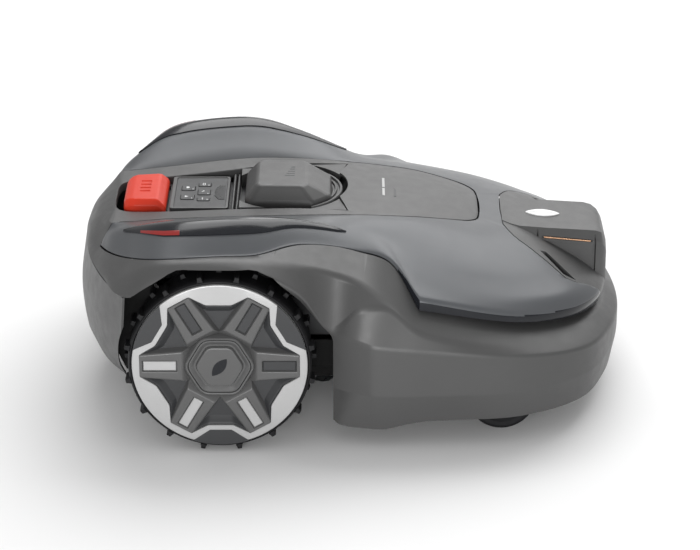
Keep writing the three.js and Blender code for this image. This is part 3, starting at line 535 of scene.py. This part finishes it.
def cover_pieces():
    hood_lines = [spline(line) for line in HOOD_LINES[:-2]]
    hood_lines += [kinked(line, LIP_CORNER) for line in HOOD_LINES[-2:]]
    hood = skin("top_shell", [sheet(hood_lines, (14, 16, 14, 12, 5))], SATIN)
    fairing = hood.copy()
    fairing.data = hood.data.copy()
    SCENE.collection.objects.link(fairing)
    outline = mirrored(FAIRING_PLAN)
    opening = [(x - SEAM, y + math.copysign(SEAM, y) if y else 0.0) for x, y in outline]
    carve(hood, prism(opening, 60, 240))
    soften(hood, 0.5, 2, 40)
    # The hood's steep front edge faces, turned sideways and downward, get the dark gloss as painted shade.
    hood.data.materials.append(GLOSS)
    for face in hood.data.polygons:
        if face.normal.z < LIP_SHADE_SLOPE and face.center.x > LIP_SHADE_FROM_X * MM:
            face.material_index = 1
    place(hood, "cover", "satin_shell", "top_shell", even_shading=False)

    carve(fairing, prism(outline, 60, 240), "INTERSECT")
    for side in (1, -1):
        carve(fairing, prism([(197, 73 * side), (221, 94 * side), (234, 93 * side), (203, 70 * side)], 60, 240))
    fairing.data.materials.clear()
    fairing.data.materials.append(MATTE)
    soften(fairing, 0.5, 2, 40)

    top, crease, flank = kinked(SKIRT_TOP, LIP_CORNER), spline(SKIRT_CREASE), spline(SKIRT_FLANK)
    rear = SKIRT_BELT[FRONT_STATIONS:]
    low_line = [(x, y, LOW_CREASE_Z) for x, y, z in SKIRT_BELT[:FRONT_STATIONS]] + rear
    belt, low, foot = (kinked(line, CORNER, 2) for line in (SKIRT_BELT, low_line, FOOT + rear))
    ledge = kinked(LEDGE_BACK, LIP_CORNER)
    rail_inner, rail_outer = spline(RAIL_INNER), spline(RAIL_OUTER)
    rail_drop = [point - Vector((0, 0, 9)) for point in rail_inner]
    deck_top = rail_outer[-2 * ALONG - 1:]
    deck_foot = top[-2 * ALONG - 1:]
    body = skin("body_cover", [
        sheet([top, crease, flank, belt, low, foot], (6, 5, 3, 1.6)),
        sheet([ledge, top[:len(ledge)]], ()),
        sheet([rail_drop, rail_inner, rail_outer], (1.2,)),
        sheet([deck_top, spline(DECK_ROLL), deck_foot], (5,)),
    ], MATTE)
    for side in (1, -1):
        carve(body, side_prism(ARCH, 140 * side, 240 * side))
    soften(body, 0.6, 2, 50)
    place(body, "cover", "matte_body", "body_cover")

    bumper = skin("rear_bumper", [sheet([spline(line) for line in BUMPER_LINES], (16, 14))], MATTE)
    for side in (1, -1):
        carve(bumper, wheel_drum(WHEEL_CLEARANCE_R, 150 * side, 250 * side))
    soften(bumper, 0.6, 2, 45)
    # Near-black plates inside both wheel arches, as painted shade.
    ribs = Shape()
    for side in (1, -1):
        ribs.rings([[(x, y * side, z) for x, z in ARCH_SHADE_PLATE] for y in (157.5, 160.5)])
    bumper = joined("rear_bumper", [bumper, soften(ribs.make("ribs", BLACK), 0.4, 2)])
    place(bumper, "cover", "matte_body", "rear_bumper")
    return fairing


fairing_base = cover_pieces()

# ---- front hatch
HATCH = [(-20, 76.0, 203.8, 209.4), (-8, 74.9, 204.4, 209), (10, 72.7, 203.9, 207.8), (38, 69.7, 201.8, 205.4),
         (70, 65.1, 198.5, 201.8), (105, 56.1, 192, 195.2), (123, 48.6, 187.8, 190.4), (132, 39.2, 185.5, 187.4),
         (135.2, 23, 184.6, 185.6)]
HATCH_REAR = [(-19, 0), (-8.5, 41), (0.5, 73.5), (-0.6, 90), (200, 90), (200, 0)]
HATCH_MARKS = [(34, 36.6, -24, -4, SILVER), (34, 36.6, -1, 24, SILVER), (46, 48.6, -24, 2, DARK)]
BRIDGE = [(-47, 61.6), (-30, 33), (-11.6, 33), (-9.6, 40.5), (-3.4, 64.2)]


def hatch_top(x):
    return 205.4 - 0.1125 * (x - 38)


def hatch():
    lines = []
    for share in (0.0, 0.25, 0.5, 0.7, 0.86, 0.95, 1.0):
        lines.append(spline([(x - 0.5 * (x > 100), share * (half - 0.5), middle - (middle - edge) * share ** 2.6)
                             for x, half, edge, middle in HATCH]))
    piece = skin("front_hatch", [sheet(lines, (4, 4, 4, 4, 4))], MATTE)
    carve(piece, prism(mirrored(HATCH_REAR), 150, 250), "INTERSECT")
    carve(piece, knob_hollow())
    soften(piece, 0.5, 2, 40)
    marks = []
    for x0, x1, y0, y1, material in HATCH_MARKS:
        bar = Shape().rings([[(x, y, hatch_top(x) + lift) for x, y in ((x0, y0), (x1, y0), (x1, y1), (x0, y1))]
                             for lift in (-0.4, 0.12)])
        marks.append(soften(bar.make("mark", material), 0.08, 1))
    place(joined("front_hatch", [piece, *marks]), "cover", "matte_body", "front_hatch")


hatch()


def rail_bridge():
    """The level corners between the rails and the hatch, cut round by the hollow of the knob."""
    halves = []
    for side in (1, -1):
        outline = [(x, y * side) for x, y in BRIDGE]
        half = prism(outline[::side], 199.5, 205.9).make("bridge", MATTE)
        carve(half, knob_hollow())
        halves.append(soften(half, 0.6, 2, 40))
    place(joined("rail_bridge", halves), "cover", "matte_body")


rail_bridge()

# ---- nose
NOSE_STATIONS = [
    # x, top half width, side half width, top z
    (159.6, 31, 38, 180.6), (168, 36, 43.5, 178.9), (178, 38.2, 45.6, 177), (205, 38.6, 46, 175),
    (250, 38.6, 46, 172.3), (258, 36.5, 44.5, 170.8), (264, 32.5, 41, 167), (268, 27, 36, 161),
    (270, 22, 32, 154),
]


def nose(base):
    rows = []
    for x, top, side, z in NOSE_STATIONS:
        rows.append([(x, -side, 112), (x, -side, z - 9), (x, -top, z), (x, top, z), (x, side, z - 9),
                     (x, side, 112)])
    body = Shape().rings(rows).make("nose", MATTE)
    for side in (1, -1):
        for x in (196.4, 257):
            carve(body, box(x - 0.8, x + 0.8, side * 39.5, side * 50, 100, 176.2))
        carve(body, side_prism([(201, 166.2), (254, 161.4), (254, 163.8), (201, 168.6)], side * 43, side * 50))
        carve(body, side_prism([(198.6, 164), (255, 159), (255, 100), (198.6, 100)], side * 44.6, side * 50))
    soften(body, 1.0, 3, 25)
    whole = joined("front_fairing", [base, body])
    whole.data.shade_smooth()
    whole.data.set_sharp_from_angle(angle=math.radians(32))
    place(whole, "cover", "matte_body", "front_fairing")

    contact = side_prism([(203, 166.4), (252, 162.0), (252, 163.2), (203, 167.6)], 44.2, 45.9)
    place_pair(soften(contact.make("contact", COPPER), 0.3), "charging_contact", "cover", "contact_copper",
               "charging_contact_{side}")


nose(fairing_base)


def nose_top(x):
    """Height of the nose between its stations at 205 and 250."""
    return 175 + (x - 205) * (172.3 - 175) / 45.0


def leaf(length, width, count=20):
    """The outline of a plain pointed leaf along x, about its middle."""
    half = [(-length / 2 + length * i / count, width / 2 * math.sin(math.pi * i / count) ** 0.8)
            for i in range(count + 1)]
    return half + [(x, -y) for x, y in reversed(half[1:-1])]


BADGE_X = 204


def badge():
    rings = [[(BADGE_X + x * k, y * k, nose_top(BADGE_X + x * k) + lift) for x, y in leaf(36, 17)]
             for k, lift in ((1.0, 0.2), (1.0, 1.2), (0.96, 1.5))]
    plate = Shape().rings(rings).make("badge", WHITE)
    groove = [(BADGE_X - 13, 0.7), (BADGE_X + 11, 0.5), (BADGE_X + 11, -0.5), (BADGE_X - 13, -0.7)]
    carve(plate, prism(groove, 170, 190))
    bake(plate)
    plate.name = "badge_plate_leaf"
    place(plate, "cover", "silver_trim", "badge_plate")


badge()


# ---- ridge strips and tail lamps
STRIP_REAR = -232
STRIP_FRONT = -4
STRIP_TAIL = 45                 # length over which the strip widens from its rear tip
STRIP_NOSE = 75                 # and over which it narrows to its front tip
WHOLE_WIDTH = (-1, -0.75, -0.5, -0.25, 0, 0.25, 0.5, 0.75, 1)
LAMP_WIDTH = (0.62, 0.72, 0.82, 0.92, 1)


def ridge_strip(name, span, shares, reach_in, reach_out, lift, thick, material):
    """A band along the crest of the hood; shares run across it, -1 at its inner edge and 1 at its outer edge."""
    inner, crest, outer = (spline(HOOD_LINES[i]) for i in (2, 3, 4))
    rows = []
    for a, b, c in zip(inner, crest, outer):
        if not span[0] < b.x < span[1]:
            continue
        narrow = math.sqrt(max(0.0, min((b.x - STRIP_REAR) / STRIP_TAIL, (STRIP_FRONT - b.x) / STRIP_NOSE, 1.0)))
        spine = Vector((b.x, 0, SPINE_Z))
        row = []
        for share in shares:
            aim = a if share < 0 else c
            reach = reach_in if share < 0 else reach_out
            p = b.lerp(aim, abs(share) * reach * narrow)
            edge = 1.0 - abs(share) ** 6
            out = (p - spine).normalized()
            dome = 1.0 - 2.2 * (1 - abs(share)) if abs(share) > 0.55 else 0.0
            p = p + out * (lift - 1.7 + 0.6 * edge - 0.3 * dome)
            if share == 0:
                p = p - out * 0.5
            row.append(p)
        rows.append(row)
    piece = Shape().grid(rows).make(name, material)
    solid = piece.modifiers.new("thickness", "SOLIDIFY")
    solid.thickness = thick * MM
    solid.offset = 0.0
    bake(piece)
    return soften(piece, 0.25, 2, 50)


strip = ridge_strip("strip", (STRIP_REAR, STRIP_FRONT), WHOLE_WIDTH, 1.0, 0.97, 2.1, 1.2, GLOSS)
place_pair(strip, "ridge_strip", "cover", "gloss_trim", "ridge_strip_{side}")
lamp = ridge_strip("lamp", (-215, -170), LAMP_WIDTH, 0.0, 0.93, 2.75, 0.7, LENS)
place_pair(lamp, "tail_lamp", "cover", "lamp_red", "tail_lamp_{side}")


# ---- wheels
def star(shrink=0.0, per_edge=6):
    """The outline shared by the wheel cover and its trim, as points about the axle: six spoke ends and notches."""
    corners = []
    for k in range(6):
        for r, offset in ((81.0, -8.6), (81.0, 8.6)):
            corners.append((r - shrink, 60 * k + offset))
        for lateral in (-12.8, 12.8):
            along = 66.6 - shrink
            corners.append((math.hypot(along, lateral), 60 * k + 30 + math.degrees(math.atan2(lateral, along))))
    flat = [Vector((r * math.cos(math.radians(a)), r * math.sin(math.radians(a)))) for r, a in corners]
    loop = []
    for before, corner, after in zip(flat[-1:] + flat[:-1], flat, flat[1:] + flat[:1]):
        start = corner + (before - corner).normalized() * 1.6
        end = corner + (after - corner).normalized() * 1.6
        loop += [start, start.lerp(corner, 0.5).lerp(corner.lerp(end, 0.5), 0.5), end]
    result = []
    for p, q in zip(loop, loop[1:] + loop[:1]):
        count = per_edge if (q - p).length > 4 else 1
        result += [p.lerp(q, i / count) for i in range(count)]
    return result


def wheel_ring(points, y):
    return [Vector((WHEEL_X + p.x, y, WHEEL_Z + p.y)) for p in points]


def tyre():
    profile = [(86.0, 168), (90.5, 168), (92.3, 171), (92.5, 174), (92.5, 201), (92.2, 204), (90.8, 206.6),
               (89.6, 207.2), (88.8, 206.4), (88.6, 203), (86.2, 202.5), (86.0, 168)]
    shape = Shape()
    shape.grid([[on_wheel(r, 360.0 * i / 128, y) for i in range(128)] for r, y in profile], wrap=True)
    band = shape.make("band", RUBBER)
    lugs = Shape()
    for row, (y0, y1) in enumerate(((168.6, 186.5), (189.5, 206.9))):
        for i in range(16):
            a = -90 + (i + row / 2) * 22.5
            rings = []
            for r, half, inset in ((91.5, 3.4, 0.0), (93.6, 2.5, 0.0), (96.3, 2.3, 0.6), (96.95, 1.8, 1.2)):
                across = math.degrees(half / r)
                rings.append([on_wheel(r, a - across, y0 + inset), on_wheel(r, a + across, y0 + inset),
                              on_wheel(r, a + across, y1 - inset), on_wheel(r, a - across, y1 - inset)])
            lugs.rings(rings)
    blocks = lugs.make("lugs", RUBBER)
    whole = joined("tyre", [bake(band, 30), soften(blocks, 0.35, 2, 40)])
    place_pair(whole, "tyre", "drive_wheel_{side}", "tyre_rubber", "tyre_{side}")


def trim_ring():
    inner = star()
    outward = [p.normalized() for p in inner]

    def ring(r, y):
        return [Vector((WHEEL_X + d.x * r, y, WHEEL_Z + d.y * r)) for d in outward]

    inside = [p + d * 0.5 for p, d in zip(inner, outward)]
    rows = [wheel_ring(inner, 204.0), wheel_ring(inner, 209.2), wheel_ring(inside, 209.7), ring(86.6, 209.2),
            ring(87.9, 208.6), ring(88.3, 207.6), ring(88.3, 203.5), wheel_ring(inner, 204.0)]
    piece = Shape().grid(rows, wrap=True).make("trim", SILVER)
    bake(piece, 24)
    insets = Shape()
    for middle in (30, 150, 270):
        arc = [(88.4, middle - 18.6 + 37.2 * i / 12) for i in range(13)]
        loop = arc + [(72.3, middle + 8.7), (72.3, middle - 8.7)]
        insets.rings([[on_wheel(r, a, y) for r, a in loop] for y in (208.0, 210.0)])
    plates = soften(insets.make("insets", DARK), 0.35, 2, 30)
    place_pair(piece, "wheel_trim", "drive_wheel_{side}", "silver_trim", "wheel_trim_{side}")
    place_pair(plates, "wheel_trim_inset", "drive_wheel_{side}", "dark_plastic")


def spoke_section(r, angle, half, y):
    a = math.radians(angle)
    along = Vector((math.cos(a), 0, math.sin(a)))
    aside = Vector((-math.sin(a), 0, math.cos(a)))
    centre = Vector((WHEEL_X, y, WHEEL_Z)) + along * r
    return centre - aside * half, centre + aside * half


LEAF_TURN = 0.9


def wheel_cover():
    edge = star(0.55)
    rows = [wheel_ring(edge, 203.5), wheel_ring(edge, 208.2)]
    for share, y in ((0.985, 208.7), (0.95, 207.6), (0.86, 202.4), (0.72, 199.2), (0.55, 198.6), (0.4, 200.5)):
        rows.append(wheel_ring([p * share for p in edge], y))
    # The floor between the spokes is dark plastic, darker than the spokes, as painted shade in the pockets.
    floor = Shape().rings(rows).make("floor", DARK)
    bake(floor, 40)
    parts = [floor]
    for k in range(6):
        angle = 60 * k

        def loop(r0, half0, r1, half1, y):
            a, b = spoke_section(r0, angle, half0, y)
            c, d = spoke_section(r1, angle, half1, y)
            return [a, a.lerp(c, 0.5), c, c.lerp(d, 0.5), d, d.lerp(b, 0.5), b, b.lerp(a, 0.5)]

        spoke = Shape().rings([loop(22, 22, 80.4, 17.5, 198.0), loop(30, 18.6, 80.3, 14.6, 204.5),
                               loop(36.0, 16.4, 80.2, 12.6, 210.0), loop(38.0, 15.0, 79.6, 11.4, 211.1),
                               loop(42.4, 6.2, 77.6, 6.2, 211.0), loop(43.4, 5.2, 76.7, 5.2, 208.6)])
        parts.append(soften(spoke.make("spoke", COVER), 1.0, 3, 18))
    hexagon = [(36.5, 60 * i) for i in range(6)]
    boss = Shape()

    def hexes(scale, y, round_by=8.0):
        corners = [on_wheel(r * scale, a, y) for r, a in hexagon]
        ring = []
        for before, corner, after in zip(corners[-1:] + corners[:-1], corners, corners[1:] + corners[:1]):
            start = corner + (before - corner).normalized() * round_by * scale
            end = corner + (after - corner).normalized() * round_by * scale
            ring += [start * (1 - t) ** 2 + corner * 2 * t * (1 - t) + end * t ** 2
                     for t in (0, 0.25, 0.5, 0.75, 1)]
        return ring

    boss.rings([hexes(1.14, 199.0), hexes(1.05, 206.5), hexes(0.99, 211.0), hexes(0.965, 211.6),
                hexes(0.93, 211.4), hexes(0.9, 209.0)])
    parts.append(bake(boss.make("boss", COVER), 28))
    whole = joined("cover", parts)
    place_pair(whole, "wheel_cover", "drive_wheel_{side}", "matte_body", "wheel_cover_{side}")

    cap = Shape().rings([hexes(0.895, 208.0), hexes(0.895, 210.9), hexes(0.86, 211.0), hexes(0.73, 208.6),
                         hexes(0.70, 208.8), hexes(0.68, 210.8), hexes(0.655, 212.4), hexes(0.61, 212.9)])
    cap_piece = bake(cap.make("cap", COVER), 28)
    leaf_plate = Shape()
    c, s = math.cos(LEAF_TURN), math.sin(LEAF_TURN)
    outline = [(x * c - y * s, x * s + y * c) for x, y in leaf(24, 11)]
    leaf_plate.rings([[Vector((WHEEL_X + x * k, y, WHEEL_Z + z * k)) for x, z in outline]
                      for k, y in ((1.0, 212.5), (1.0, 212.95), (0.94, 213.0))])
    emblem = bake(leaf_plate.make("emblem", GLOSS), 30)
    place_pair(joined("cap", [cap_piece, emblem]), "hub_cap", "drive_wheel_{side}", "dark_plastic",
               "hub_cap_{side}")

    # The same inlay comes twice: silver on the spokes at 180, 240 and 300 degrees as painted highlight, dark on
    # the spokes at 0, 60 and 120 degrees as painted shade.
    for label, angles, material, slot_name in (("bright", (180, 240, 300), SILVER, "silver_trim"),
                                               ("dark", (0, 60, 120), DARK, "dark_plastic")):
        inlay = Shape()
        for angle in angles:
            rings = []
            for half, r0, r1, y in ((4.9, 43.6, 76.4, 208.5), (4.9, 43.6, 76.4, 209.3), (4.3, 44.2, 75.8, 209.7)):
                a, b = spoke_section(r0, angle, half, y)
                c, d = spoke_section(r1, angle, half, y)
                rings.append([a, c, d, b])
            inlay.rings(rings)
        place_pair(bake(inlay.make("inlay", material), 30), f"spoke_inlay_{label}", "drive_wheel_{side}",
                   slot_name)


tyre()
trim_ring()
wheel_cover()


# ---- front casters
CASTER_AXLE = (156.0, 151.0, 35.0)


def caster_wheel():
    x, y, z = CASTER_AXLE
    profile = [(4.4, -9.6), (9, -9.9), (10, -8.2), (24, -7.6), (26, -9.2), (30, -9.4), (33.4, -7.6), (34.8, -4.6),
               (35, 0), (34.8, 4.6), (33.4, 7.6), (30, 9.4), (26, 9.2), (24, 7.6), (10, 8.2), (9, 9.9), (4.4, 9.6),
               (4.4, -9.6)]
    turn = [2 * math.pi * i / 72 for i in range(72)]
    rows = [[(x + r * math.cos(a), y + across, z + r * math.sin(a)) for a in turn] for r, across in profile]
    piece = bake(Shape().grid(rows, wrap=True).make("roller", RUBBER), 28)
    place_pair(piece, "caster_wheel", "caster_wheel_{side}", "tyre_rubber", "caster_wheel_{side}")


caster_wheel()


# ---- stop button
def stop_button():
    stations = [  # x, half width at the foot, half width at the top, top z
        (-237, 31, 24, 199.5), (-235, 34, 28, 202.5), (-231, 36.5, 31.5, 204.8), (-226, 38, 33.5, 206),
        (-204, 39.6, 35.5, 206.5), (-200.5, 39.8, 36, 205.8), (-194.5, 40, 37.5, 200.5), (-192.6, 40, 38, 197)]
    rings = [[(x, -foot, 191), (x, -foot, z - 6), (x, -top, z), (x, top, z), (x, foot, z - 6), (x, foot, 191)]
             for x, foot, top, z in stations]
    block = Shape().rings(rings).make("stop_button_cap", RED)
    soften(block, 2.0, 4, 18)
    marks = Shape()
    for i in range(4):
        y = -13.5 + 9 * i
        marks.rings([[(-221, y - 2.8, z), (-210, y - 2.8, z), (-210, y + 2.8, z), (-221, y + 2.8, z)]
                     for z in (205.3, 208)])
    carve(block, marks)
    soften(block, 0.25, 2, 50)
    place(block, "stop_button", "stop_red", "stop_button")


stop_button()

# ---- keypad
PANEL_TOP = 199.6
KEYS = [(-171, 12, 14, 13), (-171, -13, 14, 13), (-154, 21, 13, 9), (-154, 0.5, 13, 15), (-154, -19, 13, 9)]
SIGNS = [                       # small printed signs: a house, an arrow, a ring, a tick and a row of dots
    [[(-1.4, -2.2), (0.9, -2.2), (2.3, 0), (0.9, 2.2), (-1.4, 2.2)]],
    [[(-1.8, -2.2), (2.0, 0), (-1.8, 2.2)]],
    [[(-1.2, -2.8), (1.2, -2.8), (1.2, -2.1), (-1.2, -2.1)], [(-1.2, 2.1), (1.2, 2.1), (1.2, 2.8), (-1.2, 2.8)],
     [(0.8, -2.1), (1.5, -2.1), (1.5, 2.1), (0.8, 2.1)], [(-1.5, -2.1), (-0.8, -2.1), (-0.8, 2.1), (-1.5, 2.1)]],
    [[(-1.9, -0.9), (-1.2, -1.4), (1.4, 1.2), (0.8, 1.8)], [(0.4, 2.0), (1.1, 2.5), (-0.4, 3.1), (-0.9, 2.6)]],
    [[(-0.6, y - 0.6), (0.6, y - 0.6), (0.6, y + 0.6), (-0.6, y + 0.6)] for y in (-1.8, 0, 1.8)],
]


def round_box(x0, x1, y0, y1, z0, z1, corner, edge):
    outline = []
    for cx, cy, start in ((x1 - corner, y1 - corner, 0), (x0 + corner, y1 - corner, 90),
                          (x0 + corner, y0 + corner, 180), (x1 - corner, y0 + corner, 270)):
        for step in range(6):
            a = math.radians(start + 18 * step)
            outline.append((cx + corner * math.cos(a), cy + corner * math.sin(a), cx, cy))

    def ring(z, inset):
        share = (corner - inset) / corner
        return [(cx + (x - cx) * share, cy + (y - cy) * share, z) for x, y, cx, cy in outline]

    return Shape().rings([ring(z0, 0), ring(z1 - edge, 0), ring(z1 - edge * 0.3, edge * 0.3), ring(z1, edge)])


def keypad():
    frame_plate = round_box(-188.5, -127.5, -44, 44, 190.4, PANEL_TOP, 3.5, 0.8).make("frame_plate", MATTE)
    carve(frame_plate, round_box(-184.5, -130, -41.5, 41.5, PANEL_TOP - 1.4, PANEL_TOP + 3, 2.5, 0.1))
    inner = round_box(-184.2, -130.3, -41.2, 41.2, 194, PANEL_TOP - 0.7, 2.4, 0.4).make("inner_plate", DARK)
    for x, y, length, width in KEYS:
        for plate in (frame_plate, inner):
            carve(plate, round_box(x - length / 2 - 0.5, x + length / 2 + 0.5, y - width / 2 - 0.5,
                                   y + width / 2 + 0.5, 195.5, 204, 1.6, 0.1))
    bake(inner)
    soften(frame_plate, 0.3, 2, 50)
    place(joined("keypad_panel_plate", [frame_plate, inner]), "chassis", "dark_plastic", "keypad_panel")

    hexagon = [(-142.6, 9), (-142.6, -9), (-138.5, -19), (-132, -19), (-132, 19), (-138.5, 19)]
    window = prism(hexagon, PANEL_TOP - 0.9, PANEL_TOP - 0.2).make("status_window_pane", PANE)
    place(soften(window, 0.3, 2), "chassis", "gloss_trim", "status_window")

    for i, (x, y, length, width) in enumerate(KEYS):
        name = f"key_{i + 1}"
        cap = round_box(x - length / 2, x + length / 2, y - width / 2, y + width / 2, 197.2, PANEL_TOP + 0.1,
                        1.4, 0.5).make("cap", DARK)
        bake(cap)
        lamp_dot = turned([(0, 199.5), (0.7, 199.5), (0.7, 199.9), (0, 199.9)], 16, x + length / 2 - 2.4,
                          y - width / 2 + 2.2).make("dot", ICON)
        mark = icon(i, x - 1.0, y + 0.6).make("mark", ICON)
        place(joined(f"{name}_cap", [cap, bake(lamp_dot), bake(mark)]), name, "dark_plastic", name)


def icon(index, x, y):
    shape = Shape()
    for outline in SIGNS[index]:
        shape.rings([[(x + px, y + py, z) for px, py in outline] for z in (PANEL_TOP, PANEL_TOP + 0.2)])
    return shape


keypad()


# ---- height knob
def height_knob():
    foot = [(-104, -44), (-38, -47.6), (-19.5, -29), (-19.5, 29), (-38, 47.6), (-104, 44), (-110, 36), (-110, -36)]
    crown = [(-94, -37), (-51, -38.6), (-45, -30), (-45, 28), (-50, 35.6), (-93, 36), (-97.5, 31), (-97.5, -31)]

    def level(z, share):
        ring = []
        for (fx, fy), (cx, cy) in zip(foot, crown):
            ring.append((fx + (cx - fx) * share, fy + (cy - fy) * share, z))
        return ring

    grip = Shape().rings([level(197, 0), level(206.8, 0), level(222, 1)]).make("grip", MATTE)
    soften(grip, 3.0, 5, 12)
    bars = Shape()
    for i in range(5):
        length = 4 + 1.6 * i
        bars.rings([[(-58 - length, 14 - 6 * i, z), (-58, 14 - 6 * i, z), (-58, 16.2 - 6 * i, z),
                     (-58 - length, 16.2 - 6 * i, z)] for z in (221.9, 222.15)])
    marks = bake(bars.make("marks", DARK), 30)
    stem = turned([(0, 128), (6, 128), (6, 192), (39, 192), (39.8, 193), (39.8, 203), (0, 203)], 72, KNOB_X,
                  0).make("stem", MATTE)
    bake(stem, 30)
    place(joined("height_knob_grip", [grip, marks, stem]), "height_knob", "matte_body", "height_knob")


height_knob()


def console_trim():
    """Stepped arcs in front of the knob and two low ribs behind it, on the console."""
    profile = [(48.2, 192), (48.2, 203.2), (49.6, 203.8), (50.6, 202.2), (52.4, 202.2), (53.2, 204.2),
               (54.6, 204.2), (55.4, 202.4), (57.4, 202.4), (58.2, 204.6), (60.2, 204.6), (61.0, 203.4),
               (61.2, 192), (48.2, 192)]
    arcs = turned(profile, 144, KNOB_X, 0).make("arcs", MATTE)
    carve(arcs, box(-40, 0, -58, 58, 185, 210), "INTERSECT")
    bake(arcs, 30)
    plates = prism([(-115.5, -54.5), (-62, -54.5), (-62, 54.5), (-115.5, 54.5)], 188, 204.6).make("plates", MATTE)
    carve(plates, turned([(0, 150), (58.2, 150), (58.2, 250), (0, 250)], 128, KNOB_X, 0))
    soften(plates, 0.8, 3)
    ribs = Shape()
    for x in (-122.6, -118.2):
        ribs.rings([[(x - 1.6, -49, z0), (x + 1.6, -49, z0), (x + 1.6, 49, z0), (x - 1.6, 49, z0)]
                    for z0 in (190, 198)] + [[(x - 0.7, -48.4, 200.2), (x + 0.7, -48.4, 200.2),
                                              (x + 0.7, 48.4, 200.2), (x - 0.7, 48.4, 200.2)]])
    rib_piece = soften(ribs.make("ribs", MATTE), 0.5, 3, 25)
    place(joined("console_trim", [arcs, rib_piece, plates]), "chassis", "dark_plastic")


console_trim()

# ---- chassis tray
PAN_RIM = [(-214, 0), (-214, 100), (-196, 150), (60, 150), (108, 104), (205, 104), (222, 70), (222, 0)]
PAN_FOOT = [(-208, 0), (-208, 92), (-184, 116), (66, 128), (112, 98), (201, 98), (216, 67), (216, 0)]
CHAMBER_X = 22


def chassis_tray():
    def level(outline, z, inset=0.0):
        plan = [(x - math.copysign(inset, x), y and y - inset) for x, y in outline]
        return [(x, y, z) for x, y in mirrored(plan)]

    tray = Shape().rings([level(PAN_FOOT, 44), level(PAN_RIM, 68), level(PAN_RIM, 98), level(PAN_RIM, 98, 3),
                          level(PAN_RIM, 69, 3), level(PAN_FOOT, 47, 3)]).make("tray", BLACK)
    for side in (1, -1):
        arm = box(146, 178, 100 * side, 170 * side, 80, 94).make("arm", BLACK)
        carve(arm, turned([(0, 70), (6.6, 70), (6.6, 100), (0, 100)], 32, 162, 151 * side))
        bake(arm)
        notch = wheel_drum(26.4, 60 * side, 170 * side)
        carve(tray, notch)
        tray = joined("tray", [tray, arm])
    carve(tray, turned([(0, 0), (119.4, 0), (119.4, 120), (0, 120)], 128, CHAMBER_X, 0))
    place(soften(tray, 0.6, 2, 40), "chassis", "dark_plastic", "chassis_pan")


chassis_tray()

# ---- carried-over CAD nodes
OWN_EDGE = {"blade_1": 0.15, "blade_2": 0.15, "blade_3": 0.15}
slot_of = {row["node"]: row["material_slot"] for row in frame["record"]["subparts"]}
for node_name, node in frame["nodes"].items():
    if node.hide_render:
        continue
    node.data.materials.clear()
    node.data.materials.append(SLOT_MATERIAL[slot_of[node_name]])
    edges = node.modifiers.new("edges", "BEVEL")
    edges.width = OWN_EDGE.get(node_name, 0.5) * MM
    edges.segments = 2
    edges.limit_method = "ANGLE"
    edges.angle_limit = math.radians(40)


# ---- stage and light
FLOOR_REACH = 9000
SKY_STRENGTH = 0.54


def stage():
    floor = Shape().grid([[(-FLOOR_REACH, y, 0), (FLOOR_REACH, y, 0)] for y in (-FLOOR_REACH, FLOOR_REACH)])
    ground = floor.make("floor", surface_material("floor_paint", (0.86, 0.86, 0.86), 0.75, relief=0.0,
                                                  mottle=0.004, blotch=2.0))


def softbox(name, place_at, aim, width, height, power):
    data = bpy.data.lights.new(name, "AREA")
    data.shape = "RECTANGLE"
    data.size, data.size_y = width, height
    data.energy = power
    lamp_object = bpy.data.objects.new(name, data)
    SCENE.collection.objects.link(lamp_object)
    lamp_object.location = place_at
    lamp_object.rotation_euler = (Vector(aim) - Vector(place_at)).to_track_quat("-Z", "Y").to_euler()


def world():
    sky = bpy.data.worlds.new("studio")
    SCENE.world = sky
    sky.use_nodes = True
    background = sky.node_tree.nodes["Background"]
    background.inputs["Color"].default_value = (1.0, 1.0, 1.0, 1.0)
    background.inputs["Strength"].default_value = SKY_STRENGTH


stage()
world()
softbox("overhead", (0.5, 1.5, 2.3), (0.1, 0.1, 0.1), 2.9, 2.0, 70.0)
softbox("backdrop", (0.95, 2.8, 1.0), (0.2, 0.0, 0.3), 2.4, 1.4, 12.0)
softbox("front_fill", (-0.25, -2.3, 0.5), (0.05, 0.0, 0.1), 1.3, 0.6, 30.0)
